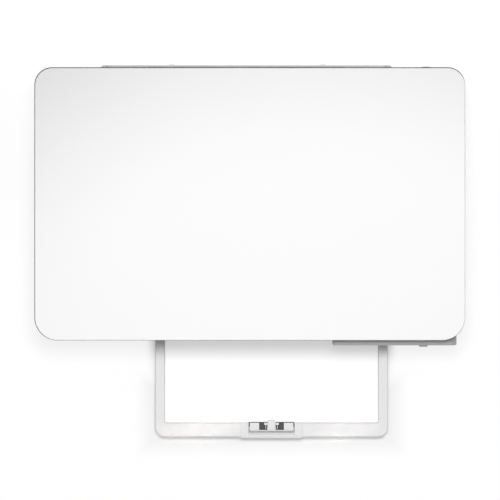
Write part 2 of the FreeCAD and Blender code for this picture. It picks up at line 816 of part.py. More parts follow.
lower_solid = fuse("lower_solid", lower_open, *bosses, *board_posts, inlet_stand,
                   *cheeks("lower_cheek", ("foot_proud + bottom_round", "seam_height")))
publish("lower_casing",
        cut("lower_casing_cut", lower_solid, *foot_holes, *boss_holes, *head_holes, flap_bores))

# Upper casing
upper_shell = rounded("upper_shell", ACROSS, ALONG, ("seam_height", "deck_z"), "corner_front",
                      "corner_rear")
soften(upper_shell, "top_round", lambda edge: level(edge, "deck_z"))
upper_hollow = rounded("upper_hollow", INSIDE_X, INSIDE_Y, ("seam_height - wall", "deck_under_z"),
                       "corner_front - wall", "corner_rear - wall")
access = block("access", ("left_x + access_margin", "right_x - access_margin"),
               ("front_y + access_front", "access_rear"), ("deck_under_z - wall", "deck_z + wall"))
hopper = block("hopper", FLAP_SPAN, ("rear_y - hopper_deep", "rear_y + wall"),
               ("seam_height - wall", "deck_z + wall"))
relief = block("relief", ("left_x - wall", "right_x + wall"), ("rear_y - relief_depth", "rear_y + wall"),
               ("relief_height", "deck_z + wall"))
panel_cut = block("panel_cut", ("panel_left - seat_gap", "panel_right + seat_gap"),
                  ("front_y - wall", "front_y + panel_inside + seat_gap"),
                  ("panel_low - seat_gap", "panel_high + seat_gap"))
grips = [block(f"grip_{number}", span, ("-grip_long / 2", "grip_long / 2"),
               ("deck_z - grip_tall", "deck_z + wall"))
         for number, span in enumerate((("left_x - wall", "left_x + grip_deep"),
                                        ("right_x - grip_deep", "right_x + wall")))]
button_holes = [rod(f"button_hole_{kind}", "y", (f"{kind}_button_x", "rear_button_z"),
                    ("rear_y - 2 * wall", "rear_y + wall"), f"{kind}_button_radius + seat_gap")
                for kind in ("power", "wireless")]
upper_open = cut("upper_open", upper_shell, upper_hollow, access, hopper, relief, panel_cut, *grips,
                 *button_holes)
ledges = []
for number, span in enumerate((("left_x + wall / 2", FLAP_SPAN[0]), (FLAP_SPAN[1], "right_x - wall / 2"))):
    ledges.append(block(f"ledge_{number}", span, ("rear_y - relief_depth - wall", "rear_y - wall / 2"),
                        ("relief_height - wall", "relief_height")))
    ledges.append(block(f"riser_{number}", span, ("rear_y - relief_depth - wall", "rear_y - relief_depth"),
                        ("relief_height - wall", "deck_under_z + wall / 2")))
corner_trim = rounded("corner_trim", ("left_x - corner_rear", "right_x + corner_rear"),
                      ("front_y - corner_rear", "rear_y + corner_rear"), ("seam_height", "deck_z"),
                      "corner_front", "corner_rear")
corner_keep = rounded("corner_keep", ACROSS, ALONG, ("seam_height - wall", "deck_z + wall"), "corner_front",
                      "corner_rear")
outside = cut("outside_corners", corner_trim, corner_keep)
ledge_solid = cut("ledge_solid", fuse("ledge_raw", *ledges), outside)
upper_posts = [rod(f"upper_post_{number}", "z", place, ("boss_height", "deck_under_z + wall / 2"),
                   "post_radius") for number, place in enumerate(POSTS)]
pilot_holes = [rod(f"pilot_{number}", "z", place,
                   ("boss_height - wall", "foot_proud + screw_length + wall"), "screw_radius + running_gap")
               for number, place in enumerate(POSTS)]
HINGES = ("-1 * hinge_x", "hinge_x")
ears = []
for number, place in enumerate(HINGES):
    for side, way in (("a", "-1"), ("b", "1")):
        near = f"{place} + {way} * (knuckle_long / 2 + seat_gap)"
        far = f"{near} + {way} * hinge_ear"
        span = (far, near) if way == "-1" else (near, far)
        ears.append(block(f"ear_{number}{side}", span,
                          ("hinge_y - knuckle_radius", "hinge_y + knuckle_radius"),
                          ("relief_height - wall / 2", "hinge_z")))
        ears.append(rod(f"ear_top_{number}{side}", "x", ("hinge_y", "hinge_z"), span, "knuckle_radius"))
pin_reach = "(knuckle_long / 2 + seat_gap + hinge_ear)"
ear_bores = [rod(f"ear_bore_{number}", "x", ("hinge_y", "hinge_z"),
                 (f"{place} - {pin_reach}", f"{place} + {pin_reach}"), "hinge_pin_radius + running_gap")
             for number, place in enumerate(HINGES)]
switch_posts = [rod(f"switch_post_{number}", "y", place, ("switch_board_y", "rear_y - wall / 2"),
                    "board_boss")
                for number, place in enumerate((("switch_board_left + board_boss",
                                                 "switch_board_low + board_boss"),
                                                ("switch_board_right - board_boss",
                                                 "switch_board_high - board_boss")))]
upper_solid = fuse("upper_solid", upper_open, ledge_solid, *upper_posts, *ears, *switch_posts,
                   *cheeks("upper_cheek", ("seam_height", "relief_height - seat_gap")))
publish("upper_casing", cut("upper_casing_cut", upper_solid, *pilot_holes, *ear_bores))

# Feet and screws
feet = [fuse(f"foot_{number}", rod(f"foot_disc_{number}", "z", place, ("0", "foot_proud"), "foot_radius"),
             rod(f"foot_peg_{number}", "z", place, ("foot_proud / 2", "floor_z"), "foot_peg"))
        for number, place in enumerate(FEET)]
publish("rubber_feet", group("feet_group", *feet))
screws = [fuse(f"screw_{number}",
               rod(f"screw_shank_{number}", "z", place,
                   ("foot_proud + wall / 2", "foot_proud + screw_length"), "screw_radius"),
               rod(f"screw_head_{number}", "z", place, ("foot_proud", "foot_proud + screw_head_height"),
                   "screw_head_radius")) for number, place in enumerate(POSTS)]
publish("casing_screws", group("screw_group", *screws))

# Lid with its knuckles, and the hinge pins
LID_X = ("left_x + lid_inset", "right_x - lid_inset")
LID_Y = ("front_y + lid_inset", "rear_y - lid_inset")
lid_slab = rounded("lid_slab", LID_X, LID_Y, ("lid_z", "lid_top"), "corner_front - lid_inset",
                   "corner_rear - lid_inset")
soften(lid_slab, "lid_edge_round", lambda edge: level(edge, "lid_top"))
lid_hollow = rounded("lid_hollow", ("left_x + lid_inset + wall", "right_x - lid_inset - wall"),
                     ("front_y + lid_inset + wall", "rear_y - lid_inset - wall"),
                     ("lid_z - wall", "lid_top - wall"), "corner_front - lid_inset - wall",
                     "corner_rear - lid_inset - wall")
knuckles = []
for number, place in enumerate(HINGES):
    span = (f"{place} - knuckle_long / 2", f"{place} + knuckle_long / 2")
    knuckles.append(rod(f"knuckle_{number}", "x", ("hinge_y", "hinge_z"), span, "knuckle_radius"))
    knuckles.append(block(f"knuckle_web_{number}", span, ("hinge_y - knuckle_radius", "rear_y - lid_inset"),
                          ("hinge_z", "lid_top - wall / 2")))
lid_open = cut("lid_open", lid_slab, lid_hollow)
lid_bores = [rod(f"lid_bore_{number}", "x", ("hinge_y", "hinge_z"),
                 (f"{place} - knuckle_long", f"{place} + knuckle_long"), "hinge_pin_radius + running_gap")
             for number, place in enumerate(HINGES)]
publish("lid", cut("lid_cut", fuse("lid_solid", lid_open, *knuckles), *lid_bores))
pins = [rod(f"hinge_pin_{number}", "x", ("hinge_y", "hinge_z"),
            (f"{place} - {pin_reach}", f"{place} + {pin_reach}"), "hinge_pin_radius")
        for number, place in enumerate(HINGES)]
publish("lid_hinge_pins", group("pin_group", *pins))


# Control panel, its lamps and button
def plunger(name, x, z, face, way, radius, proud, skin):
    """A button: cap through the wall, flange behind it and a stem; way is the outward Y direction."""
    def span(outer, inner):
        ends = (f"{face} + {way} * ({inner})", f"{face} + {way} * ({outer})")
        return ends if way == "1" else ends[::-1]
    behind = f"-1 * ({skin} + seat_gap)"
    cap = rod(name + "_cap", "y", (x, z), span(proud, behind), radius)
    flange = rod(name + "_flange", "y", (x, z), span(behind, f"{behind} - button_flange_thick"),
                 f"{radius} + button_flange")
    stem = rod(name + "_stem", "y", (x, z),
               span(behind, f"{behind} - button_flange_thick - button_stem_long"), "button_stem")
    return fuse(name + "_all", cap, flange, stem)


panel_block = prism("panel_block", "z",
                    [("panel_left", "panel_y"), ("panel_right", "panel_y"),
                     ("panel_right", "front_y + panel_inside"), ("panel_left", "front_y + panel_inside")],
                    ("panel_low", "panel_high"))
soften(panel_block, "panel_round",
       lambda edge: upright(edge, "panel_y - wall",
                            "front_y") and edge.BoundBox.Center.x < value("panel_left + lamp_first"))
PANEL_RIMS = ("panel_low", "panel_high")
soften(panel_block, "panel_edge_round",
       lambda edge: edge.BoundBox.YMax < value("front_y") and any(level(edge, rim) for rim in PANEL_RIMS))
panel_hollow = block("panel_hollow", ("panel_left + panel_skin", "panel_right - panel_skin"),
                     ("panel_y + panel_skin", "front_y + panel_inside + wall"),
                     ("panel_low + panel_skin", "panel_high - panel_skin"))
panel_hole = rod("panel_hole", "y", ("panel_button_x", "panel_mid_z"),
                 ("panel_y - wall", "panel_y + 2 * wall"), "panel_button_radius + seat_gap")
LAMPS = [f"panel_left + lamp_first + {number} * lamp_pitch" for number in range(int(SIZES["lamp_count"]))]
lamp_holes = [rod(f"lamp_hole_{number}", "y", (place, "panel_mid_z"),
                  ("panel_y - wall", "panel_y + 2 * wall"), "lamp_radius + running_gap")
              for number, place in enumerate(LAMPS)]
publish("control_panel", cut("panel_cut_out", panel_block, panel_hollow, panel_hole, *lamp_holes))
lamps = [rod(f"lamp_{number}", "y", (place, "panel_mid_z"), ("panel_y", "panel_y + panel_skin"),
             "lamp_radius") for number, place in enumerate(LAMPS)]
publish("panel_lamps", group("lamp_group", *lamps))
publish("panel_button",
        plunger("panel_button", "panel_button_x", "panel_mid_z", "panel_y", "-1", "panel_button_radius",
                "panel_button_proud", "panel_skin"))

# Rear buttons and the small board with their switches
for kind in ("power", "wireless"):
    publish(f"{kind}_button",
            plunger(f"{kind}_button", f"{kind}_button_x", "rear_button_z", "rear_y", "1",
                    f"{kind}_button_radius", f"{kind}_button_proud", "wall"))
switch_plate = block("switch_plate", ("switch_board_left", "switch_board_right"),
                     ("switch_board_y - board_thick", "switch_board_y"),
                     ("switch_board_low", "switch_board_high"))
switches = [block(f"switch_{kind}",
                  (f"{kind}_button_x - switch_size / 2", f"{kind}_button_x + switch_size / 2"),
                  ("switch_board_y - board_thick / 2", "stem_end - seat_gap"),
                  ("rear_button_z - switch_size / 2", "rear_button_z + switch_size / 2"))
            for kind in ("power", "wireless")]
publish("rear_switch_board", fuse("switch_board_all", switch_plate, *switches))

# Rear input tray
flap_plate = block("flap_plate", ("flap_left", "flap_right"), ("flap_inner", "flap_back"),
                   ("flap_axis_z", "flap_top"))
flap_barrel = rod("flap_barrel", "x", ("flap_axis_y", "flap_axis_z"), ("flap_left", "flap_right"),
                  "flap_thick / 2")
flap_pins = rod("flap_pins", "x", ("flap_axis_y", "flap_axis_z"),
                ("flap_left - wide_gap - flap_pin_long + seat_gap",
                 "flap_right + wide_gap + flap_pin_long - seat_gap"), "flap_pin_radius")
flap_slot = block("flap_slot", ("support_left - sliding_gap", "support_right + sliding_gap"),
                  ("support_front - sliding_gap", "support_back + sliding_gap"),
                  ("support_low - sliding_gap", "flap_top + wall"))
flap_ribs = [block(f"flap_rib_{side}",
                   (f"flap_rib_{side} - flap_rib_width / 2", f"flap_rib_{side} + flap_rib_width / 2"),
                   ("flap_back - flap_skin / 2", "rear_y + rear_reach"), ("support_low", "flap_top"))
             for side in ("left", "right")]
guide_rail = block("guide_rail", ("guide_rail_left", "guide_rail_right"),
                   ("flap_inner - guide_rail_deep", "flap_inner + flap_skin"),
                   ("guide_rail_low", "guide_rail_high"))
edge_fin = block("edge_fin", ("paper_right + seat_gap", "flap_right"),
                 ("flap_inner - fin_deep", "flap_inner + flap_skin"), ("fin_low", "fin_high"))
flap_base = cut("flap_base", fuse("flap_core", flap_plate, flap_barrel, flap_pins), flap_slot)
publish("input_tray", fuse("flap_all", flap_base, *flap_ribs, guide_rail, edge_fin))
support = block("support", ("support_left", "support_right"), ("support_front", "support_back"),
                ("support_low", "support_top"))
support_notch = block("support_notch", ("support_middle - guide_saddle", "support_middle + guide_saddle"),
                      ("support_front - wall", "support_back + wall"),
                      ("support_top - wall", "support_top + wall"))
publish("paper_support", cut("support_cut", support, support_notch))
SADDLE = ("paper_left - guide_wall - guide_saddle", "paper_left - guide_wall / 2")
saddle = block("saddle", SADDLE, ("flap_inner - guide_rail_deep - guide_wall", "flap_inner - seat_gap"),
               ("guide_rail_low - guide_wall - sliding_gap", "guide_rail_high + guide_wall + sliding_gap"))
guide_fin = block("guide_fin", ("paper_left - guide_wall", "paper_left"),
                  ("flap_inner - fin_deep", "flap_inner - seat_gap"), ("fin_low", "fin_high"))
saddle_channel = block("saddle_channel", ("guide_rail_left", "guide_rail_right"),
                       ("flap_inner - guide_rail_deep - sliding_gap", "flap_inner + wall"),
                       ("guide_rail_low - sliding_gap", "guide_rail_high + sliding_gap"))
publish("width_guide", cut("width_guide_cut", fuse("width_guide_solid", saddle, guide_fin), saddle_channel))

# Output tray: a U-shaped frame with the stop housing in its end bar
tray_outer = prism("tray_outer", "z",
                   [("tray_left", "tray_front"), ("tray_right", "tray_front"), ("tray_right", "tray_end"),
                    ("tray_left", "tray_end")], ("tray_low", "tray_top"))
soften(tray_outer, "tray_corner", lambda edge: upright(edge, "tray_front - wall", "tray_front + wall"))
soften(tray_outer, "tray_edge_round", lambda edge: level(edge, "tray_top"))
tray_inside_gap = block("tray_inside_gap", ("tray_left + tray_leg", "tray_right - tray_leg"),
                        ("bar_inner", "tray_end + wall"), ("tray_low - wall", "tray_top + wall"))
stop_block = block("stop_block", ("tray_centre - stop_housing / 2", "tray_centre + stop_housing / 2"),
                   ("stop_front", "bar_inner"), ("tray_low", "tray_top + stop_rise"))
well = block("well", ("tray_centre - stop_well / 2", "tray_centre + stop_well / 2"),
             ("well_front", "bar_inner + wall"), ("well_floor", "tray_top + wall"))
stop_bores = rod("stop_bores", "x", ("stop_axis_y", "stop_axis_z"),
                 ("tray_centre - stop_well / 2 - stop_pin_long",
                  "tray_centre + stop_well / 2 + stop_pin_long"), "stop_pin + running_gap")
hooks = [block("tray_hook_left", ("tray_left - hook_out", "tray_left + hook_out"),
               ("tray_end - hook_long", "tray_end"), ("tray_low", "tray_top - hook_out")),
         block("tray_hook_right", ("tray_right - hook_out", "tray_right + hook_out"),
               ("tray_end - hook_long", "tray_end"), ("tray_low", "tray_top - hook_out"))]
tray_frame = cut("tray_frame", tray_outer, tray_inside_gap)
tray_solid = fuse("tray_solid", tray_frame, stop_block, *hooks)
publish("output_tray", cut("tray_cut", tray_solid, well, stop_bores))

# Paper stop folded into the housing, and the dark pads below its windows
STOP_X = ("tray_centre - stop_width / 2", "tray_centre + stop_width / 2")
stop_plate = block("stop_plate", STOP_X, ("stop_axis_y", "bar_inner"),
                   ("tray_top - stop_thick", "tray_top"))
stop_barrel = rod("stop_barrel", "x", ("stop_axis_y", "stop_axis_z"), STOP_X, "stop_barrel")
stop_pins = rod("stop_pins", "x", ("stop_axis_y", "stop_axis_z"),
                ("tray_centre - stop_well / 2 - stop_pin_long + seat_gap",
                 "tray_centre + stop_well / 2 + stop_pin_long - seat_gap"), "stop_pin")
knob = block("knob", ("tray_centre - knob_width / 2", "tray_centre + knob_width / 2"),
             ("stop_axis_y", "bar_inner + knob_out"), ("tray_top - stop_thick", "tray_top"))
WINDOW_Y = ("bar_inner - window_lip - window_long", "bar_inner - window_lip")
windows = [block(f"window_{side}",
                 (f"tray_centre + {way} * window_offset - window_width / 2",
                  f"tray_centre + {way} * window_offset + window_width / 2"), WINDOW_Y,
                 ("tray_low", "tray_top + wall")) for side, way in (("left", "-1"), ("right", "1"))]
stop_solid = fuse("stop_solid", stop_plate, stop_barrel, stop_pins, knob)
publish("paper_stop", cut("stop_cut", stop_solid, *windows))
pads = [block(f"pad_{side}",
              (f"tray_centre + {way} * window_offset - pad_width / 2",
               f"tray_centre + {way} * window_offset + pad_width / 2"),
              ("well_front + seat_gap", "bar_inner - seat_gap"), ("well_floor", "well_floor + pad_thick"))
        for side, way in (("left", "-1"), ("right", "1"))]
publish("stop_pads", group("pad_group", *pads))

# Rails for the tray legs, standing on the casing floor
RAIL_Y = ("rail_start", "rail_end")
rails = []
for side, outer_edge, way in (("left", "tray_left", "-1"), ("right", "tray_right", "1")):
    inner_edge = f"{outer_edge} - {way} * tray_leg"
    ends = (f"{outer_edge} + {way} * (sliding_gap + hook_out + rail_outer)",
            f"{inner_edge} - {way} * rail_wall")
    span = ends if way == "-1" else ends[::-1]
    body = block(f"rail_body_{side}", span, RAIL_Y, ("floor_z", "rail_top"))
    ends = (f"{outer_edge} + {way} * sliding_gap", f"{inner_edge} - {way} * sliding_gap")
    span = ends if way == "-1" else ends[::-1]
    channel = block(f"rail_channel_{side}", span, ("rail_start - wall", "rail_end + wall"),
                    ("tray_low - sliding_gap", "tray_top + sliding_gap"))
    ends = (f"{outer_edge} + {way} * (hook_out + sliding_gap)", f"{outer_edge} - {way} * hook_out")
    span = ends if way == "-1" else ends[::-1]
    groove = block(f"rail_groove_{side}", span, ("tray_end - hook_long - seat_gap", "rail_end + wall"),
                   ("tray_low - sliding_gap", "tray_top - hook_out + sliding_gap"))
    rails.append(cut(f"rail_{side}", body, channel, groove))
publish("tray_rails", group("rail_group", *rails))

# Side plates with their bushes
PLATE_CORNERS = [("front_y + plate_front", "floor_z"), ("plate_rear", "floor_z"),
                 ("plate_rear", "plate_top - wall"), ("feed_y + bush_flange", "plate_top"),
                 ("exit_y - bush_flange", "plate_top"), ("front_y + plate_front", "roller_z")]
ROLLER_ROWS = (("feed", "feed_y"), ("exit", "exit_y"))
PLATES = (("left", ("plate_left - plate_thick", "plate_left")),
          ("right", ("plate_right", "plate_right + plate_thick")))
for side, span in PLATES:
    plate = prism(f"plate_{side}_blank", "x", PLATE_CORNERS, span)
    holes = [rod(f"plate_{side}_{row}", "x", (place, "roller_z"), span, "bush_radius + running_gap")
             for row, place in ROLLER_ROWS]
    publish(f"side_plate_{side}", cut(f"plate_{side}_cut", plate, *holes))
bushes = []
FLANGES = {"left": ("bush_left", "plate_left - plate_thick"),
           "right": ("plate_right + plate_thick", "bush_right")}
for side, span in PLATES:
    for row, place in ROLLER_ROWS:
        sleeve = rod(f"sleeve_{side}_{row}", "x", (place, "roller_z"), span, "bush_radius")
        collar = rod(f"collar_{side}_{row}", "x", (place, "roller_z"), FLANGES[side], "bush_flange")
        bore = rod(f"bush_bore_{side}_{row}", "x", (place, "roller_z"), ("bush_left", "bush_right"),
                   "shaft_radius + running_gap")
        bushes.append(cut(f"bush_{side}_{row}", fuse(f"bush_solid_{side}_{row}", sleeve, collar), bore))
publish("roller_bushes", group("bush_group", *bushes))

# Feed roller with its gear and encoder disc
ROLLER_X = ("roller_left", "roller_right")
GEAR_X = ("gear_left", "gear_right")
PULLEY_X = ("pulley_left", "pulley_right")
DISC_X = ("bush_right + drive_step", "bush_right + drive_step + encoder_thick")


def pulley(name, place, radius, bore):
    """A belt pulley about X with a rim on each side."""
    drum = rod(name + "_drum", "x", (place, "roller_z"), PULLEY_X, radius)
    rims = [rod(f"{name}_rim_{number}", "x", (place, "roller_z"), span, f"{radius} + belt_thick / 2")
            for number, span in enumerate((("pulley_left", "belt_left - seat_gap"),
                                           ("belt_left + belt_width + seat_gap", "pulley_right")))]
    solid = fuse(name + "_solid", drum, *rims)
    return cut(name + "_bored", solid,
               rod(name + "_bore", "x", (place, "roller_z"), PULLEY_X, bore)) if bore else solid


feed_shaft = rod("feed_shaft", "x", ("feed_y", "roller_z"),
                 ("gear_left - drive_step", "bush_right + 2 * drive_step + encoder_thick"), "shaft_radius")
feed_drum = rod("feed_drum", "x", ("feed_y", "roller_z"), ROLLER_X, "roller_radius")
publish("feed_roller", fuse("feed_roller_all", feed_shaft, feed_drum))
SHAFT_BORE = "shaft_radius + running_gap"
feed_joint = cut("feed_joint",
                 rod("feed_joint_rod", "x", ("feed_y", "roller_z"),
                     ("pulley_left - drive_step", "pulley_left"), "exit_pulley"),
                 rod("feed_joint_bore", "x", ("feed_y", "roller_z"),
                     ("pulley_left - drive_step", "pulley_left"), SHAFT_BORE))
publish("feed_gear",
        fuse("feed_gear_all",
             spur_gear("feed_teeth_ring", "feed_teeth", "feed_y", GEAR_X, False, SHAFT_BORE), feed_joint,
             pulley("feed_pulley", "feed_y", "exit_pulley", SHAFT_BORE)))
disc = rod("disc", "x", ("feed_y", "roller_z"), DISC_X, "encoder_radius")
publish("encoder_disc",
        cut("disc_cut", disc, rod("disc_bore", "x", ("feed_y", "roller_z"), DISC_X, SHAFT_BORE)))

# Exit roller with its pulley, and the belt from the feed roller
exit_shaft = rod("exit_shaft", "x", ("exit_y", "roller_z"), ("pulley_left", "bush_right"), "shaft_radius")
exit_drum = rod("exit_drum", "x", ("exit_y", "roller_z"), ROLLER_X, "roller_radius")
publish("exit_roller",
        fuse("exit_roller_all", exit_shaft, exit_drum, pulley("exit_wheel", "exit_y", "exit_pulley", None)))
BELT_X = ("belt_left", "belt_left + belt_width")
publish("exit_belt",
        belt_loop("exit_belt_loop", "x", ("exit_y", "feed_y"), "roller_z", BELT_X, "exit_pulley"))

# Drive idler, motor pinion, motor bracket and feed motor
IDLER_BORE = "idler_axle + running_gap"
idler_joint = cut("idler_joint",
                  rod("idler_joint_rod", "x", ("idler_y", "roller_z"),
                      ("pulley_left - drive_step", "pulley_left"), "exit_pulley"),
                  rod("idler_joint_bore", "x", ("idler_y", "roller_z"),
                      ("pulley_left - drive_step", "pulley_left"), IDLER_BORE))
publish("drive_idler",
        fuse("drive_idler_all",
             spur_gear("idler_teeth_ring", "idler_teeth", "idler_y", GEAR_X, True, IDLER_BORE), idler_joint,
             pulley("idler_pulley", "idler_y", "pick_pulley", IDLER_BORE)))
publish("motor_pinion",
        spur_gear("pinion_ring", "pinion_teeth", "pinion_y", GEAR_X, False, "motor_shaft + running_gap"))
BRACKET_X = ("bracket_left", "bracket_right")
bracket_plate = block("bracket_plate", BRACKET_X, ("bracket_front", "plate_rear"),
                      ("floor_z", "bracket_top"))
bracket_axle = rod("bracket_axle", "x", ("idler_y", "roller_z"),
                   ("bracket_left", "plate_left - plate_thick"), "idler_axle")
motor_hole = rod("motor_hole", "x", ("pinion_y", "roller_z"), BRACKET_X, "shaft_radius")
publish("motor_bracket", cut("bracket_cut", fuse("bracket_solid", bracket_plate, bracket_axle), motor_hole))
motor_can = rod("motor_can", "x", ("pinion_y", "roller_z"),
                ("bracket_left - feed_motor_long", "bracket_left"), "feed_motor_radius")
motor_rod = rod("motor_rod", "x", ("pinion_y", "roller_z"), ("bracket_left - wall", "gear_right"),
                "motor_shaft")
publish("feed_motor", fuse("feed_motor_all", motor_can, motor_rod))

# Star wheels over the exit roller and the bar that holds them
STAR_X = [f"plate_left + star_margin + {number} * star_pitch" for number in range(int(SIZES["star_count"]))]
star_axle = rod("star_axle", "x", ("exit_y", "star_z"),
                ("plate_left - plate_thick / 2", "plate_right + plate_thick / 2"), "star_shaft")
stars = [rod(f"star_{number}", "x", ("exit_y", "star_z"),
             (f"{place} - star_thick / 2", f"{place} + star_thick / 2"), "star_radius")
         for number, place in enumerate(STAR_X)]
publish("star_wheels", fuse("star_all", star_axle, *stars))
STAR_BAR_Y = ("exit_y - star_bar_deep / 2", "exit_y + star_bar_deep / 2")
star_beam = block("star_beam", ("plate_left - plate_thick", "plate_right + plate_thick"), STAR_BAR_Y,
                  ("star_bar_low", "star_bar_top"))
star_posts = [block(f"star_post_{side}", span, STAR_BAR_Y, ("plate_top", "star_bar_top"))
              for side, span in PLATES]
star_slots = [block(f"star_slot_{number}",
                    (f"{place} - star_thick / 2 - wide_gap", f"{place} + star_thick / 2 + wide_gap"),
                    ("exit_y - star_radius - seat_gap", "exit_y + star_radius + seat_gap"),
                    ("star_bar_low - wall", "star_z + star_radius + seat_gap"))
              for number, place in enumerate(STAR_X)]
star_bore = rod("star_bore", "x", ("exit_y", "star_z"),
                ("plate_left - plate_thick", "plate_right + plate_thick"), "star_shaft + running_gap")
publish("star_wheel_bar",
        cut("star_bar_cut", fuse("star_bar_solid", star_beam, *star_posts), *star_slots, star_bore))

# Pinch rollers over the feed roller, hung from the carriage rail
PINCH_COUNT = int(SIZES["pinch_count"])
PINCH_X = [f"pinch_first + {number} * pinch_pitch" for number in range(PINCH_COUNT)]
PINCH_ENDS = ("plate_left + pinch_plate_inset + wide_gap", "plate_right - pinch_plate_inset - wide_gap")
pinch_axle = rod("pinch_axle", "x", ("feed_y", "pinch_z"), PINCH_ENDS, "pinch_shaft")
pinches = [rod(f"pinch_{number}", "x", ("feed_y", "pinch_z"),
               (f"{place} - pinch_width / 2", f"{place} + pinch_width / 2"), "pinch_radius")
           for number, place in enumerate(PINCH_X)]
publish("pinch_rollers", fuse("pinch_all", pinch_axle, *pinches))
PINCH_Z = ("rail_plate_low - pinch_plate", "rail_plate_low")
pinch_beam = block("pinch_beam", ("plate_left + pinch_plate_inset", "plate_right - pinch_plate_inset"),
                   ("feed_y + pinch_radius + wide_gap", "rail_plate_rear"), PINCH_Z)
ARM_X = [f"plate_left + pinch_margin + {number} * pinch_pitch" for number in range(PINCH_COUNT + 1)]
pinch_arms = [block(f"pinch_arm_{number}", (f"{place} - pinch_arm / 2", f"{place} + pinch_arm / 2"),
                    ("feed_y - pinch_radius", "feed_y + pinch_radius + pinch_arm"),
                    ("pinch_z - pinch_arm_drop", "rail_plate_low")) for number, place in enumerate(ARM_X)]
pinch_bore = rod("pinch_bore", "x", ("feed_y", "pinch_z"), ("plate_left", "plate_right"),
                 "pinch_shaft + running_gap")
publish("pinch_holder", cut("pinch_cut", fuse("pinch_solid", pinch_beam, *pinch_arms), pinch_bore))

# Platen, delivery floor and paper guide
INNER_X = ("inner_left", "inner_right")
platen_body = block("platen_body", INNER_X, ("platen_front", "platen_rear"),
                    ("rail_top", "platen_top - platen_rib_height"))
platen_void = block("platen_void", ("inner_left + wall", "inner_right - wall"),
                    ("platen_front + wall", "platen_rear - wall"),
                    ("rail_top - wall", "platen_top - platen_rib_height - wall"))
RIB_X = [f"inner_left + platen_rib_margin + {number} * platen_rib_pitch"
         for number in range(int(SIZES["platen_rib_count"]))]
platen_ribs = [block(f"platen_rib_{number}", (place, f"{place} + platen_rib"),
                     ("platen_front + wall", "platen_rear - wall"),
                     ("platen_top - 2 * platen_rib_height", "platen_top"))
               for number, place in enumerate(RIB_X)]
publish("platen", fuse("platen_all", cut("platen_shell", platen_body, platen_void), *platen_ribs))
publish("delivery_floor",
        prism("delivery_body", "x",
              [("front_y + delivery_front", "rail_top"),
               ("exit_y - roller_radius - platen_gap", "rail_top"),
               ("exit_y - roller_radius - platen_gap", "roller_z + delivery_rise"),
               ("front_y + delivery_front", "rail_top + delivery_lip")], INNER_X))
guide_top = "platen_top - platen_drop"
guide_plate = prism("guide_plate", "x",
                    [("feed_y + roller_radius + wide_gap", guide_top), ("ramp_top_y", guide_top),
                     ("ramp_low_y", "guide_low"), ("guide_back", "guide_low"),
                     ("guide_back", "guide_under"), ("ramp_low_y - wall / 2", "guide_under"),
                     ("ramp_top_y - wall / 2", f"{guide_top} - guide_thick"),
                     ("feed_y + roller_radius + wide_gap", f"{guide_top} - guide_thick")], INNER_X)
UPRIGHTS = (("left", ("inner_left", "inner_left + upright_thick")),
            ("right", ("inner_right - upright_thick", "inner_right")))
guide_extras = []
for side, span in UPRIGHTS:
    guide_extras.append(block(f"guide_upright_{side}", span,
                              ("pick_y - upright_half", "pick_y + upright_half"),
                              ("guide_under", "roller_z + upright_rise")))
    guide_extras.append(block(f"guide_leg_{side}", span, ("feed_y + guide_leg_start", "guide_back"),
                              ("floor_z", "guide_low")))
pick_bore = rod("pick_bore", "x", ("pick_y", "roller_z"), ("plate_left", "plate_right"),
                "shaft_radius + running_gap")
SEPARATION_X = ("pick_centre - separation_half", "pick_centre + separation_half")
SEPARATION_Y = ("pick_y - separation_half", "pick_y + separation_half")
pad_recess = block("pad_recess",
                   ("pick_centre - separation_half - seat_gap", "pick_centre + separation_half + seat_gap"),
                   ("pick_y - separation_half - seat_gap", "pick_y + separation_half + seat_gap"),
                   ("guide_low - separation_thick", "guide_low + wall"))
publish("paper_guide",
        cut("guide_cut", fuse("guide_solid", guide_plate, *guide_extras), pick_bore, pad_recess))
publish("separation_pad",
        block("separation_block", SEPARATION_X, SEPARATION_Y,
              ("guide_low - separation_thick", "guide_low + running_gap")))

# Pick roller with its pulley, and the belt that drives it
pick_shaft = rod("pick_shaft", "x", ("pick_y", "roller_z"), ("pulley_left", "plate_right"), "shaft_radius")
pick_drum = rod("pick_drum", "x", ("pick_y", "roller_z"),
                ("pick_centre - pick_half", "pick_centre + pick_half"), "pick_radius")
publish("pick_roller",
        fuse("pick_all", pick_shaft, pick_drum, pulley("pick_wheel", "pick_y", "pick_pulley", None)))
publish("pick_belt",
        belt_loop("pick_belt_loop", "x", ("idler_y", "pick_y"), "roller_z", BELT_X, "pick_pulley"))

# Carriage rail: a bent plate on two legs, with shelves for the motor and the belt idler
RAIL_LEGS = (("left", ("rail_leg_left", "rail_leg_left + rail_leg")),
             ("right", ("service_left", "service_left + rail_leg")))
RAIL_DEPTH = ("rail_plate_front", "rail_plate_rear")
rail_pieces = [block("rail_plate", ("rail_plate_left", "rail_plate_right"), RAIL_DEPTH,
                     ("rail_plate_low", "rail_plate_high"))]
for side, span in RAIL_LEGS:
    rail_pieces.append(block(f"rail_leg_{side}_post", span, RAIL_DEPTH, ("floor_z", "rail_plate_high")))
    rail_pieces.append(block(f"rail_foot_{side}", span, ("rail_plate_front - rail_foot", "rail_plate_rear"),
                             ("floor_z", "floor_z + flange_thick")))
FLANGE_Z = ("flange_low", "flange_top")
FLANGE_Y = ("rail_plate_front", "rail_plate_rear + flange_deep")
MOTOR_SHELF = ("belt_motor_x - carriage_motor_radius - wall", "belt_motor_x + carriage_motor_radius + wall")
rail_pieces.append(block("motor_shelf", MOTOR_SHELF, FLANGE_Y, FLANGE_Z))
rail_pieces.append(block("idler_shelf", ("park_x + clip_half + 2 * wall", "rail_plate_right"), FLANGE_Y,
                         FLANGE_Z))
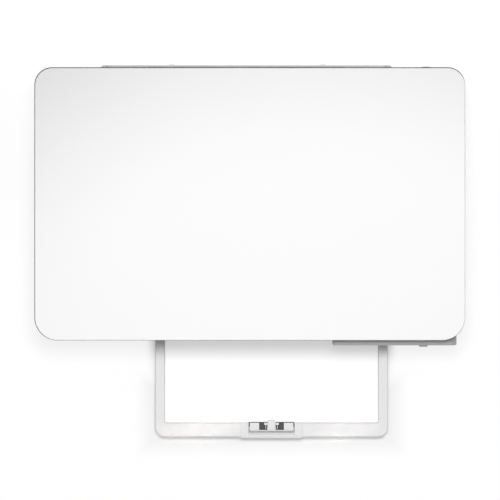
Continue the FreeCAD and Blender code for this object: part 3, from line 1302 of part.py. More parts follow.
rail_pieces.append(rod("idler_axle", "z", ("belt_idler_x", "belt_y"),
                       ("flange_low", "pulley_top + seat_gap"), "motor_shaft"))
STRIP_Y = ("strip_y - strip_thick / 2", "strip_y + strip_thick / 2")
STRIP_BRACKETS = (("left", ("rail_plate_left", "rail_plate_left + strip_bracket")),
                  ("right", ("rail_plate_right - strip_bracket", "rail_plate_right")))
for side, span in STRIP_BRACKETS:
    rail_pieces.append(block(f"strip_arm_{side}", span, ("strip_y + strip_thick / 2", "rail_plate_rear"),
                             ("strip_low", "strip_high")))
shelf_hole = rod("shelf_hole", "z", ("belt_motor_x", "belt_y"), FLANGE_Z, "shaft_radius")
publish("carriage_rail", cut("rail_cut", fuse("rail_solid", *rail_pieces), shelf_hole))
publish("encoder_strip",
        block("strip", ("rail_plate_left", "rail_plate_right"), STRIP_Y, ("strip_low", "strip_high")))

# Carriage motor, the two belt pulleys and the belt
carriage_can = rod("carriage_can", "z", ("belt_motor_x", "belt_y"), ("carriage_motor_low", "flange_low"),
                   "carriage_motor_radius")
carriage_spindle = rod("carriage_spindle", "z", ("belt_motor_x", "belt_y"),
                       ("flange_low - wall", "pulley_top + seat_gap"), "motor_shaft")
publish("carriage_motor", fuse("carriage_motor_all", carriage_can, carriage_spindle))
for label, place in (("motor_pulley", "belt_motor_x"), ("belt_idler", "belt_idler_x")):
    drum = rod(label + "_drum", "z", (place, "belt_y"), ("pulley_low", "pulley_top"), "belt_pulley")
    rims = [rod(f"{label}_rim_{number}", "z", (place, "belt_y"), span, "belt_pulley + belt_thick")
            for number, span in enumerate((("pulley_low", "belt_low - seat_gap"),
                                           ("belt_high + seat_gap", "pulley_top")))]
    bore = rod(label + "_bore", "z", (place, "belt_y"), ("pulley_low", "pulley_top"),
               "motor_shaft + running_gap")
    publish(label, cut(label + "_cut", fuse(label + "_solid", drum, *rims), bore))
publish("carriage_belt",
        belt_loop("carriage_loop", "z", ("belt_motor_x", "belt_idler_x"), "belt_y",
                  ("belt_low", "belt_high"), "belt_pulley"))

# Carriage: an open box on the rail with a pocket for each cartridge
CARTRIDGES = (("black", "black_x"), ("colour", "colour_x"))
POCKET_Y = ("pocket_front", "pocket_rear")
box = block("carriage_box", ("park_x - carriage_half", "park_x + carriage_half"),
            ("carriage_front", "carriage_rear"), ("carriage_low", "carriage_high"))
tower = block("tower", ("park_x - tower_half", "park_x + tower_half"), ("tower_front", "carriage_rear"),
              ("carriage_high - wall", "tower_top"))
LIP_Y = ("rail_plate_rear + sliding_gap", "rail_plate_rear + sliding_gap + hook_lip")
hook = block("hook", ("park_x - tower_half", "park_x + tower_half"), ("tower_front", LIP_Y[1]),
             ("rail_plate_high + sliding_gap", "tower_top"))
lip = block("lip", ("park_x - tower_half", "park_x + tower_half"), LIP_Y, ("hook_lip_low", "tower_top"))
clip = block("clip", ("park_x - clip_half", "park_x + clip_half"), (LIP_Y[0], "clip_rear"),
             ("clip_low", "clip_high"))
latch_ears = []
for number, span in enumerate((("black_x - cartridge_half - latch_pin_long - wall",
                                "black_x - cartridge_half"),
                               ("black_x + cartridge_half", "colour_x - cartridge_half"),
                               ("colour_x + cartridge_half",
                                "colour_x + cartridge_half + latch_pin_long + wall"))):
    latch_ears.append(block(f"latch_ear_{number}", span,
                            ("latch_axis_y - latch_ear_half", "latch_axis_y + latch_ear_half"),
                            ("carriage_high - wall", "latch_ear_top")))
pockets = []
for kind, place in CARTRIDGES:
    half = "(cartridge_half + pocket_gap)"
    pockets.append(block(f"pocket_{kind}", (f"{place} - {half}", f"{place} + {half}"), POCKET_Y,
                         ("pocket_floor", "tower_top + wall")))
    pockets.append(block(f"nose_hole_{kind}",
                         (f"{place} - nose_half - pocket_gap", f"{place} + nose_half + pocket_gap"),
                         ("nose_front - pocket_gap", "nose_rear + pocket_gap"),
                         ("carriage_low - wall", "pocket_floor + wall")))
belt_slot = block("belt_slot", ("park_x - carriage_half", "park_x + carriage_half"),
                  ("belt_run_front - pocket_gap", "belt_run_rear + pocket_gap"),
                  ("clip_low - wall", "belt_high + pocket_gap"))
strip_slot = block("strip_slot", ("park_x - carriage_half", "park_x + carriage_half"),
                   ("strip_y - strip_thick / 2 - strip_slot", "strip_y + strip_thick / 2 + strip_slot"),
                   ("strip_low - strip_slot", "strip_high + strip_slot"))
latch_bore = rod("latch_bore", "x", ("latch_axis_y", "latch_axis_z"),
                 ("black_x - cartridge_half - latch_pin_long - running_gap",
                  "colour_x + cartridge_half + latch_pin_long + running_gap"), "latch_pin + running_gap")
publish("carriage",
        cut("carriage_cut", fuse("carriage_solid", box, tower, hook, lip, clip, *latch_ears), *pockets,
            belt_slot, strip_slot, latch_bore))

# Ink cartridges and their latches
for kind, place in CARTRIDGES:
    tank = block(f"{kind}_tank", (f"{place} - cartridge_half", f"{place} + cartridge_half"),
                 ("pocket_front + pocket_gap", "pocket_rear - pocket_gap"),
                 ("pocket_floor", "cartridge_top"))
    nose = block(f"{kind}_nose", (f"{place} - nose_half", f"{place} + nose_half"),
                 ("nose_front", "nose_rear"), ("nozzle_z", "pocket_floor + wall"))
    publish(f"{kind}_cartridge", fuse(f"{kind}_cartridge_all", tank, nose))
    LATCH_X = (f"{place} - latch_half", f"{place} + latch_half")
    arm = block(f"{kind}_arm", LATCH_X, ("latch_front", "latch_axis_y"),
                ("latch_axis_z - latch_barrel / 2", "latch_axis_z + latch_barrel / 2"))
    tab = block(f"{kind}_tab", LATCH_X, ("latch_front", "latch_front + wall"),
                ("cartridge_top + wide_gap", "latch_axis_z + latch_barrel"))
    barrel = rod(f"{kind}_barrel", "x", ("latch_axis_y", "latch_axis_z"), LATCH_X, "latch_barrel")
    pin = rod(f"{kind}_pin", "x", ("latch_axis_y", "latch_axis_z"),
              (f"{place} - cartridge_half - latch_pin_long + seat_gap",
               f"{place} + cartridge_half + latch_pin_long - seat_gap"), "latch_pin")
    publish(f"{kind}_latch", fuse(f"{kind}_latch_all", arm, tab, barrel, pin))

# Service station with its sled and the two caps
service_tub = block("service_tub", ("service_left", "service_right"), ("service_front", "service_rear"),
                    ("floor_z", "service_top"))
service_well = block("service_well", ("service_left + service_wall", "service_right - service_wall"),
                     ("service_front + service_wall", "service_rear - service_wall"),
                     ("floor_z + service_floor", "service_top + wall"))
publish("service_base", cut("service_cut", service_tub, service_well))
publish("cap_sled",
        block("sled_block",
              ("service_left + service_wall + sliding_gap", "service_right - service_wall - sliding_gap"),
              ("service_front + service_wall + sliding_gap", "service_rear - service_wall - sliding_gap"),
              ("sled_low", "sled_top")))
caps = []
for kind, place in CARTRIDGES:
    cup = block(f"cup_{kind}", (f"{place} - nose_half", f"{place} + nose_half"),
                ("nose_front", "nose_rear"), ("sled_top", "nozzle_z - cap_gap"))
    hollow = block(f"cup_hollow_{kind}",
                   (f"{place} - nose_half + cap_wall", f"{place} + nose_half - cap_wall"),
                   ("nose_front + cap_wall", "nose_rear - cap_wall"), ("sled_top + cap_wall", "nozzle_z"))
    caps.append(cut(f"cap_{kind}", cup, hollow))
publish("nozzle_caps", group("cap_group", *caps))

# Main board, USB port, power inlet and power supply
board_plate = block("board_plate", ("board_left", "board_right"), ("board_front", "board_rear"),
                    ("board_z", "board_top"))
chip = block("chip",
             ("(board_left + board_right - chip_size) / 2", "(board_left + board_right + chip_size) / 2"),
             ("board_front + 2 * chip_size", "board_front + 3 * chip_size"),
             ("board_z + board_thick / 2", "board_top + chip_thick"))
header = block("header",
               ("(board_left + board_right - header_wide) / 2",
                "(board_left + board_right + header_wide) / 2"),
               ("board_front + header_deep", "board_front + 2 * header_deep"),
               ("board_z + board_thick / 2", "board_top + header_tall"))
publish("main_board", fuse("main_board_all", board_plate, chip, header))
usb_shell = block("usb_shell", ("usb_x - usb_half", "usb_x + usb_half"),
                  ("rear_y - usb_deep", "rear_y - seat_gap"), ("board_top", "usb_top"))
usb_hollow = block("usb_hollow", ("usb_x - usb_half + guide_wall", "usb_x + usb_half - guide_wall"),
                   ("rear_y - usb_deep + 2 * wall", "rear_y + wall"),
                   ("board_top + guide_wall", "usb_top - guide_wall"))
usb_tongue_block = block("usb_tongue_block", ("usb_x - usb_tongue / 2", "usb_x + usb_tongue / 2"),
                         ("rear_y - usb_deep + wall", "rear_y - usb_mouth"),
                         ("board_top + usb_tall / 2 - board_thick",
                          "board_top + usb_tall / 2 + board_thick"))
publish("usb_port", fuse("usb_all", cut("usb_cut", usb_shell, usb_hollow), usb_tongue_block))
inlet_block = block("inlet_block", ("inlet_x - inlet_half", "inlet_x + inlet_half"),
                    ("rear_y - inlet_deep", "rear_y - seat_gap"), ("inlet_low", "inlet_top"))
SOCKET_Y = ("rear_y - seat_gap - inlet_socket", "rear_y + wall")
LOBES = (("left", "inlet_x - inlet_lobe_offset"), ("right", "inlet_x + inlet_lobe_offset"))
lobes = [rod(f"lobe_{side}", "y", (place, "inlet_z"), SOCKET_Y, "inlet_lobe") for side, place in LOBES]
lobes.append(block("lobe_middle", (LOBES[0][1], LOBES[1][1]), SOCKET_Y,
                   ("inlet_z - inlet_lobe", "inlet_z + inlet_lobe")))
inlet_pins = [rod(f"inlet_pin_{side}", "y", (place, "inlet_z"),
                  ("rear_y - seat_gap - inlet_socket - wall",
                   "rear_y - seat_gap - inlet_socket + inlet_pin_long"), "inlet_pin")
              for side, place in LOBES]
publish("power_inlet", fuse("inlet_all", cut("inlet_cut", inlet_block, *lobes), *inlet_pins))
publish("power_supply",
        block("supply_block", ("supply_left", "supply_right"), ("supply_front", "supply_rear"),
              ("floor_z", "supply_top")))

# Check every piece and write one file each
doc.recompute()
for item in doc.Objects:
    if "Invalid" in item.State or "Error" in item.State:
        raise RuntimeError(f"{item.Label} did not recompute")
os.makedirs("parts", exist_ok=True)
for made in nodes:
    if made.Shape.isNull() or not made.Shape.isValid():
        raise RuntimeError(f"{made.Label} is not a valid shape")
    made.Shape.exportStep(os.path.join("parts", f"{made.Label}.step"))
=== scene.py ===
# %% [markdown]
# A compact inkjet printer, seen from straight above on a white studio table. The construction is a fixed frame in
# metres: every piece made here sits where the frame says, rides on one of its bodies and moves with that body's
# joint.

# %% Load the frame
import json
import math
import bpy
import numpy as np
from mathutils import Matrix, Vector


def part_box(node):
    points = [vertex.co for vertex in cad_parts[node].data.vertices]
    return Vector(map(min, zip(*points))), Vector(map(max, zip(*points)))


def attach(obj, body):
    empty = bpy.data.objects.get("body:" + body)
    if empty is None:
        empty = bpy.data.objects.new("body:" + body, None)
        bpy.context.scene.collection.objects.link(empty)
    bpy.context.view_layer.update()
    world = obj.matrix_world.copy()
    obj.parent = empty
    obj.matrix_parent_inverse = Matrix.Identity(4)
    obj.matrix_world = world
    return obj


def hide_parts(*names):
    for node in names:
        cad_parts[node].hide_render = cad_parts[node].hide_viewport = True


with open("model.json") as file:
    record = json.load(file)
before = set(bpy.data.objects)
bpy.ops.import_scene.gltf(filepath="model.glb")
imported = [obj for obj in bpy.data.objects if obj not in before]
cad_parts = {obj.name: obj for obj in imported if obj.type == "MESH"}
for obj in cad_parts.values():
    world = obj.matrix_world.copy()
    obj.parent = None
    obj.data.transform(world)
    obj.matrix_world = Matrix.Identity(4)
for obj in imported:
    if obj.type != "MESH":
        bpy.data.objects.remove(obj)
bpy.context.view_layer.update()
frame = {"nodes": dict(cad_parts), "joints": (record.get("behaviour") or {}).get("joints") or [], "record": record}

MM = 0.001


def mm(*sizes):
    """Several sizes in millimetres, as metres."""
    return tuple(size * MM for size in sizes)


nodes = frame["nodes"]
joints = {joint["name"]: joint for joint in frame["joints"]}
print("nodes:", len(nodes), "joints:", len(joints))

# %% [markdown]
# Blender stores a surface as points and faces. Most new pieces here are stacks of rings: one
# parameter runs round a closed outline, the other from ring to ring. Numpy works out every point of
# that grid at once, and the faces follow from the point numbers, so no piece needs a loop over its
# points.


# %% Turn a stack of rings into a closed shell
def ring_faces(rings, around, closed):
    """Quads between neighbouring rings: point j of ring i joins point j + 1 and ring i + 1."""
    row = np.arange(rings if closed else rings - 1)[:, None]
    here = np.arange(around)[None, :]
    after = (here + 1) % around
    low, high = row * around, (row + 1) % rings * around
    return np.stack([low + here, low + after, high + after, high + here], axis=-1).reshape(-1, 4)


def shell(rings, closed=False):
    """Points and faces of a closed skin: quads join the rings, and a flat face shuts each end.

    A closed stack joins its last ring to its first and needs no ends. The signed volume, a sum of
    corner products over all triangles, tells whether the faces point outwards; if not, they turn.
    """
    rings = np.asarray(rings, dtype=float)
    count, around = rings.shape[:2]
    points = rings.reshape(-1, 3)
    quads = ring_faces(count, around, closed)
    triangles = [quads[:, [0, 1, 2]], quads[:, [0, 2, 3]]]
    faces = quads.tolist()
    if not closed:
        ends = np.stack([np.arange(around)[::-1], np.arange(around) + (count - 1) * around])
        first = np.repeat(ends[:, :1], around - 2, axis=1)
        triangles.append(np.stack([first, ends[:, 1:-1], ends[:, 2:]], axis=-1).reshape(-1, 3))
        faces += ends.tolist()
    a, b, c = (points[np.concatenate(triangles)[:, corner]] for corner in range(3))
    inside_out = np.einsum("ij,ij->", a, np.cross(b, c)) < 0
    return points, [face[::-1] for face in faces] if inside_out else faces


def piece(name, *shells):
    """One object at the origin from any number of closed shells."""
    starts = np.cumsum([0] + [len(points) for points, _ in shells])
    faces = [[corner + int(start) for corner in face] for start, (_, part) in zip(starts, shells)
             for face in part]
    mesh = bpy.data.meshes.new(name)
    mesh.from_pydata(np.concatenate([points for points, _ in shells]).tolist(), [], faces)
    mesh.update()
    made = bpy.data.objects.new(name, mesh)
    bpy.context.scene.collection.objects.link(made)
    return made


# %% [markdown]
# Nearly every ring on a printer is one of three kinds: a rectangle with rounded corners, a section
# that is carried along X, or a circle round an axis. Each gets one function, in metres. One quarter
# circle gives the inset and the drop of every soft edge.


# %% Three kinds of ring
BEND = np.linspace(0.0, np.pi / 2, 7)


def arc(centre, radius, start, steps):
    """A quarter circle in the plane, anticlockwise from the start angle."""
    turn = start + np.linspace(0.0, np.pi / 2, steps)
    return np.asarray(centre) + radius * np.column_stack([np.cos(turn), np.sin(turn)])


def rounded_outline(low, high, front, rear, steps=12):
    """A rectangle from low to high, its corners quarter circles of a front and a rear radius."""
    (left, near), (right, far) = low, high
    return np.concatenate([arc((right - front, near + front), front, -np.pi / 2, steps),
                           arc((right - rear, far - rear), rear, 0.0, steps),
                           arc((left + rear, far - rear), rear, np.pi / 2, steps),
                           arc((left + front, near + front), front, np.pi, steps)])


def soft_edge(radius):
    """Inset and drop along a quarter circle, from the upright wall over to the flat top."""
    return radius * (1 - np.cos(BEND)), radius * (1 - np.sin(BEND))


def at_height(outline, z):
    """Lift a flat outline to a height."""
    return np.column_stack([outline, np.full(len(outline), z)])


def raised(flat, heights):
    """Give the points of every flat ring their heights, the same in each ring."""
    tall = np.broadcast_to(heights[:, None], (*flat.shape[:2], 1))
    return np.concatenate([flat, tall], axis=-1)


def carried(section, stations):
    """Rings along X: one section in the YZ plane for all stations, or one of its own for each."""
    section, stations = np.asarray(section), np.asarray(stations)
    shape = len(stations), section.shape[-2]
    along = np.broadcast_to(stations[:, None, None], (*shape, 1))
    return np.concatenate([along, np.broadcast_to(section, (*shape, 2))], axis=-1)


def turned(profile, centre, axis, steps=40):
    """Circles round an axis: a profile row holds a place along the axis and a radius."""
    place, radius = np.asarray(profile, dtype=float).T
    turn = np.linspace(0.0, 2 * np.pi, steps, endpoint=False)
    others = [number for number in range(3) if number != axis]
    rings = np.empty((len(place), steps, 3))
    rings[..., axis] = centre[axis] + place[:, None]
    rings[..., others[0]] = centre[others[0]] + radius[:, None] * np.cos(turn)
    rings[..., others[1]] = centre[others[1]] + radius[:, None] * np.sin(turn)
    return rings


# %% [markdown]
# A moulded part never has a knife edge. A Bevel modifier rounds the edges that the grid leaves
# sharp, and smooth shading with a sharp-angle limit keeps the flat faces flat. Each piece is then
# tied to its body, to the frame node that it stands for, and to its finish.


# %% Finish a piece and tie it to the frame
SHARP = math.radians(32)


def settle(made, body, slot, *stands_for, bevel=0.0, segments=2):
    """Bevel width in metres, body to ride on, material slot, and the frame nodes it replaces."""
    if bevel:
        rounding = made.modifiers.new("rounded edges", "BEVEL")
        rounding.width = bevel
        rounding.segments = segments
        rounding.limit_method = "ANGLE"
        rounding.angle_limit = SHARP
        rounding.harden_normals = True
    made.data.shade_smooth()
    made.data.set_sharp_from_angle(angle=SHARP)
    made.data.materials.append(finishes[slot])
    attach(made, body)
    if stands_for:
        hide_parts(*stands_for)
    print(made.name, "points:", len(made.data.vertices))
    return made


# %% [markdown]
# An effect that many materials share is best kept in a node group, a small graph with named
# sockets. A few helpers keep the wiring short: a new group with the sockets that every finish has,
# a noise texture, a sum or product, a mix of two colours, and a roughness between two limits.


# %% Helpers that wire a node group
NUMBER, COLOUR = "NodeSocketFloat", "NodeSocketColor"
FINISH_IN = [("Vector", "NodeSocketVector"), ("Colour", COLOUR), ("Shade", COLOUR),
             ("Gloss Low", NUMBER), ("Gloss High", NUMBER)]
FINISH_OUT = [("Colour", COLOUR), ("Roughness", NUMBER), ("Height", NUMBER)]


def new_group(name, *more):
    """A shader node group with the sockets of every finish, more numbers, and its two end nodes."""
    tree = bpy.data.node_groups.new(name, "ShaderNodeTree")
    for label, kind in FINISH_IN + [(number, NUMBER) for number in more]:
        tree.interface.new_socket(label, in_out="INPUT", socket_type=kind)
    for label, kind in FINISH_OUT:
        tree.interface.new_socket(label, in_out="OUTPUT", socket_type=kind)
    return tree, tree.nodes.new("NodeGroupInput"), tree.nodes.new("NodeGroupOutput")


def noise(tree, vector, scale, detail, roughness=0.5):
    """A noise texture; scale is a number or a socket, in features per metre."""
    made = tree.nodes.new("ShaderNodeTexNoise")
    made.inputs["Detail"].default_value = detail
    made.inputs["Roughness"].default_value = roughness
    tree.links.new(vector, made.inputs["Vector"])
    if isinstance(scale, (int, float)):
        made.inputs["Scale"].default_value = scale
    else:
        tree.links.new(scale, made.inputs["Scale"])
    return made.outputs["Fac"]


def maths(tree, operation, *values):
    """A math node fed by sockets and numbers."""
    made = tree.nodes.new("ShaderNodeMath")
    made.operation = operation
    for place, value in zip(made.inputs, values):
        if isinstance(value, (int, float)):
            place.default_value = value
        else:
            tree.links.new(value, place)
    return made.outputs[0]


def blend_colours(tree, share, first, second):
    """Mix two colours by a share; a colour is a socket or three numbers."""
    made = tree.nodes.new("ShaderNodeMix")
    made.data_type = "RGBA"
    tree.links.new(share, made.inputs["Factor"])
    for place, value in ((made.inputs[6], first), (made.inputs[7], second)):
        if isinstance(value, (tuple, list)):
            place.default_value = (*value, 1.0)
        else:
            tree.links.new(value, place)
    return made.outputs[2]


def gloss_between(tree, start, share):
    """A roughness between the finish's two limits, by a share."""
    low, high = start.outputs["Gloss Low"], start.outputs["Gloss High"]
    return maths(tree, "MULTIPLY_ADD", share, maths(tree, "SUBTRACT", high, low), low)


# %% [markdown]
# The finish of a moulded case is never one flat colour. The tool is etched, which leaves a fine
# grain in height and gloss; the plastic itself varies a little from place to place; and a thin dust
# settles on faces that look up. All plastics share these three effects, so they live in one node
# group, and every material places it with its own values.

# %% Build the moulded finish as a node group
DUST_COLOUR = (0.62, 0.60, 0.57)
CLOUD_SCALE = 9.0
SPECK_SCALE = 900.0


def moulded_group():
    """Grain in height and gloss, cloudy shade, and dust on faces that look up."""
    tree, start, end = new_group("moulded_finish", "Grain Scale", "Dust")
    vector = start.outputs["Vector"]
    clouds = noise(tree, vector, CLOUD_SCALE, 4.0, 0.6)
    grain = noise(tree, vector, start.outputs["Grain Scale"], 2.0, 0.55)
    colour = blend_colours(tree, clouds, start.outputs["Shade"], start.outputs["Colour"])
    facing = tree.nodes.new("ShaderNodeNewGeometry").outputs["Normal"]
    split = tree.nodes.new("ShaderNodeSeparateXYZ")
    tree.links.new(facing, split.inputs[0])
    upward = maths(tree, "POWER", maths(tree, "MAXIMUM", split.outputs["Z"], 0.0), 3.0)
    specks = noise(tree, vector, SPECK_SCALE, 3.0, 0.7)
    patchy = maths(tree, "MULTIPLY", maths(tree, "MULTIPLY", specks, clouds), start.outputs["Dust"])
    dust = maths(tree, "MULTIPLY", patchy, upward)
    tree.links.new(blend_colours(tree, dust, colour, DUST_COLOUR), end.inputs["Colour"])
    mixed = maths(tree, "MULTIPLY", maths(tree, "ADD", grain, clouds), 0.5)
    rough = gloss_between(tree, start, mixed)
    tree.links.new(maths(tree, "ADD", rough, dust), end.inputs["Roughness"])
    tree.links.new(grain, end.inputs["Height"])
    return tree


moulded_finish = moulded_group()
print("group:", moulded_finish.name, "nodes:", len(moulded_finish.nodes))

# %% [markdown]
# Sheet steel and ground shafts are drawn or rolled along one direction, so their scratches are
# noise stretched far along one axis. The same stretched noise serves steel, brass and printed film,
# so it is the second shared group.


# %% Build the drawn metal finish as a node group
STREAK_SCALE = (30.0, 1600.0, 1600.0)
PATCH_SCALE = 40.0


def drawn_group():
    """Fine streaks along X over broad patches of tone."""
    tree, start, end = new_group("drawn_finish")
    stretch = tree.nodes.new("ShaderNodeMapping")
    stretch.inputs["Scale"].default_value = STREAK_SCALE
    tree.links.new(start.outputs["Vector"], stretch.inputs["Vector"])
    streaks = noise(tree, stretch.outputs["Vector"], 1.0, 3.0, 0.6)
    patches = noise(tree, start.outputs["Vector"], PATCH_SCALE, 3.0)
    tone = maths(tree, "MULTIPLY", maths(tree, "ADD", streaks, patches), 0.5)
    tree.links.new(blend_colours(tree, tone, start.outputs["Shade"], start.outputs["Colour"]),
                   end.inputs["Colour"])
    tree.links.new(gloss_between(tree, start, tone), end.inputs["Roughness"])
    tree.links.new(streaks, end.inputs["Height"])
    return tree


drawn_finish = drawn_group()
print("group:", drawn_finish.name, "nodes:", len(drawn_finish.nodes))

# %% [markdown]
# One function makes each material: it reads Object coordinates, places the shared group, and feeds
# the group's colour, roughness and height to a Principled shader that stays in the material. What
# is the same all over, such as metalness or coat, is set on the shader's own sockets.


# %% A material from a shared finish
finishes = {}
SHADE = 0.93


def finish(slot, group, colour, gloss, height, grain=0.0, dust=0.0, shade=SHADE, **fixed):
    """Make the material of one slot; gloss is a low and a high roughness, height is in metres."""
    made = bpy.data.materials.new(slot)
    made.use_nodes = True
    tree = made.node_tree
    shader = tree.nodes["Principled BSDF"]
    place = tree.nodes.new("ShaderNodeTexCoord")
    effect = tree.nodes.new("ShaderNodeGroup")
    effect.node_tree = group
    tree.links.new(place.outputs["Object"], effect.inputs["Vector"])
    effect.inputs["Colour"].default_value = (*colour, 1.0)
    effect.inputs["Shade"].default_value = (*[part * shade for part in colour], 1.0)
    effect.inputs["Gloss Low"].default_value, effect.inputs["Gloss High"].default_value = gloss
    if group == moulded_finish:
        effect.inputs["Grain Scale"].default_value = grain
        effect.inputs["Dust"].default_value = dust
    tree.links.new(effect.outputs["Colour"], shader.inputs["Base Color"])
    tree.links.new(effect.outputs["Roughness"], shader.inputs["Roughness"])
    bump = tree.nodes.new("ShaderNodeBump")
    bump.inputs["Distance"].default_value = height
    bump.inputs["Strength"].default_value = 1.0
    tree.links.new(effect.outputs["Height"], bump.inputs["Height"])
    tree.links.new(bump.outputs["Normal"], shader.inputs["Normal"])
    for socket, number in fixed.items():
        shader.inputs[socket.replace("_", " ")].default_value = number
    finishes[slot] = made
    return made


# %% [markdown]
# The plastics of the printer: a smooth white lid, a grey etched case, a darker panel, satin trays
# and black inner mouldings. Grain scale is in features per metre, so 2500 is a grain of about 0.4
# mm.

# %% The printer's plastics and rubbers
# Colour, low and high roughness, grain height, grain scale, dust, and a shade where it is special
MOULDED = {
    "lid_white": ((0.92, 0.92, 0.92), (0.46, 0.58), 6e-6, 1800.0, 0.02, 0.985),
    "casing_grey": ((0.58, 0.58, 0.585), (0.42, 0.62), 3e-5, 2600.0, 0.08),
    "button_grey": ((0.56, 0.56, 0.565), (0.30, 0.45), 8e-6, 2600.0, 0.03),
    "tray_white": ((0.80, 0.80, 0.80), (0.34, 0.48), 1e-5, 2200.0, 0.03, 0.97),
    "flap_grey": ((0.76, 0.76, 0.765), (0.42, 0.60), 2.5e-5, 2600.0, 0.06),
    "inner_black": ((0.016, 0.016, 0.017), (0.40, 0.62), 2e-5, 2200.0, 0.05),
    "gear_white": ((0.74, 0.72, 0.66), (0.34, 0.48), 6e-6, 3000.0, 0.06),
    "roller_rubber": ((0.030, 0.030, 0.031), (0.62, 0.86), 3e-5, 3400.0, 0.14),
    "cartridge_dark": ((0.030, 0.030, 0.033), (0.34, 0.52), 2e-5, 2400.0, 0.10),
    "latch_black": ((0.026, 0.026, 0.027), (0.30, 0.46), 1e-5, 2400.0, 0.10),
    "latch_blue": ((0.035, 0.105, 0.30), (0.30, 0.46), 1e-5, 2400.0, 0.10),
    "supply_dark": ((0.035, 0.035, 0.038), (0.45, 0.65), 3e-5, 2000.0, 0.20),
    "board_green": ((0.012, 0.085, 0.035), (0.22, 0.40), 1e-5, 700.0, 0.08, 0.7),
}
for slot, values in MOULDED.items():
    finish(slot, moulded_finish, *values)
finish("panel_grey", moulded_finish, (0.365, 0.365, 0.37), (0.35, 0.50), 1e-5, 2600.0, 0.05,
       Coat_Weight=0.6, Coat_Roughness=0.08)
finish("lamp_clear", moulded_finish, (0.78, 0.80, 0.80), (0.08, 0.16), 3e-6, 1500.0,
       Transmission_Weight=0.6, IOR=1.49)
print("moulded finishes:", len(finishes))

# %% [markdown]
# The metals: zinc-plated sheet for plates and rail, brass for the motor pinion, and the clear film
# of the two position scales, which is plastic but carries fine printed streaks.

# %% The printer's metals and film
finish("steel", drawn_finish, (0.60, 0.61, 0.62), (0.24, 0.40), 4e-6, shade=0.78, Metallic=1.0)
finish("pinion_brass", drawn_finish, (0.68, 0.50, 0.22), (0.22, 0.36), 4e-6, shade=0.80,
       Metallic=1.0)
finish("film_clear", drawn_finish, (0.55, 0.58, 0.58), (0.10, 0.22), 1e-6, shade=0.75)
for entry in frame["record"]["subparts"]:
    node = nodes[entry["node"]]
    node.data.materials.clear()
    node.data.materials.append(finishes[entry["material_slot"]])
print("finishes:", len(finishes))

# %% [markdown]
# The photograph looks straight down from far away, so the sides of the case hide below the lid. Its
# lid is 430 pixels wide in a frame of 500; with the camera 2.6 m above the lid, that fixes the
# lens.

# %% Camera
FRAME_PIXELS = 500.0
LID_PIXELS = 430.2
CAMERA_RISE = 2.6
CAMERA_Y = 3.3 * MM
SENSOR_MM = 36.0
lid_low, lid_high = np.array(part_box("lid"))
lid_pixel = (lid_high[0] - lid_low[0]) / LID_PIXELS
camera_data = bpy.data.cameras.new("studio_camera")
camera_data.sensor_width = SENSOR_MM
camera_data.lens = SENSOR_MM * CAMERA_RISE / (FRAME_PIXELS * lid_pixel)
camera = bpy.data.objects.new("studio_camera", camera_data)
camera.location = (0.0, CAMERA_Y, lid_high[2] + CAMERA_RISE)
bpy.context.scene.collection.objects.link(camera)
bpy.context.scene.camera = camera
print("lens:", round(camera_data.lens, 1))

# %% [markdown]
# The table is white to the eye and still keeps the object's soft shadow: camera rays see a base glow under the lit
# surface. Between the tray's legs the glow is low, so that the true shade of the case and the tray shows there. In
# a ring just outside the tray, widest along its front, the glow is lower still: that ring is painted shade on the
# table, on top of the real shade there. All round it is higher, the lit surface in turn counts for less, and far
# away almost nothing but glow is left.

# %% Table
scene = bpy.context.scene
scene.view_settings.view_transform = "Standard"
TABLE_HALF = 6.0
# The low glow just outside the tray paints a ring of shade on the table.
TABLE_GLOW = {"tray": 0.40, "band": 0.19, "open": 0.80, "far": 0.98}
TRAY_ZONE = (0.02, -0.115), (0.104, 0.052)
SHADE_RING_ZONE = (0.02, -0.150), (0.108, 0.021)
CORE_FADE, TRAY_FADE = (0.0, 0.006), (0.0, 0.014)
SHADE_RING_FADE, FAR_FADE = (0.0, 0.022), (0.08, 0.50)
TABLE_WHITE, TABLE_ROUGH = (0.78, 0.22), 0.9
TABLE_BOUNCE = 0.70


def camera_share(tree):
    """One where a ray comes from the camera or by way of gloss or glass, and zero elsewhere."""
    ray = tree.nodes.new("ShaderNodeLightPath").outputs
    clear = maths(tree, "MAXIMUM", ray["Is Glossy Ray"], ray["Is Transmission Ray"])
    return maths(tree, "MAXIMUM", ray["Is Camera Ray"], clear)


span = np.array([-TABLE_HALF, TABLE_HALF])
corners = np.stack(np.meshgrid(span, span), axis=-1).reshape(-1, 2)
table_mesh = bpy.data.meshes.new("studio_table")
table_mesh.from_pydata(np.column_stack([corners, np.zeros(4)]).tolist(), [], [(0, 1, 3, 2)])
table = bpy.data.objects.new("studio_table", table_mesh)
scene.collection.objects.link(table)
table_finish = bpy.data.materials.new("studio_table")
table_finish.use_nodes = True
tree = table_finish.node_tree
shader = tree.nodes["Principled BSDF"]
shader.inputs["Roughness"].default_value = TABLE_ROUGH
shader.inputs["Specular IOR Level"].default_value = 0.0
glow = tree.nodes.new("ShaderNodeEmission")
place = tree.nodes.new("ShaderNodeTexCoord")
flat = tree.nodes.new("ShaderNodeSeparateXYZ")
tree.links.new(place.outputs["Object"], flat.inputs[0])


def beyond(tree, zone):
    """How far a place lies outside a rectangle on the table, given by its middle and half sizes."""
    away = []
    for axis, middle, half in zip(flat.outputs, *zone):
        offset = maths(tree, "ABSOLUTE", maths(tree, "SUBTRACT", axis, middle))
        away.append(maths(tree, "SUBTRACT", offset, half))
    return maths(tree, "MAXIMUM", *away)


def fade(tree, value, start, end):
    """Rise smoothly from zero at the start to one at the end."""
    made = tree.nodes.new("ShaderNodeMapRange")
    made.interpolation_type = "SMOOTHSTEP"
    made.inputs["From Min"].default_value, made.inputs["From Max"].default_value = start, end
    tree.links.new(value, made.inputs["Value"])
    return made.outputs["Result"]


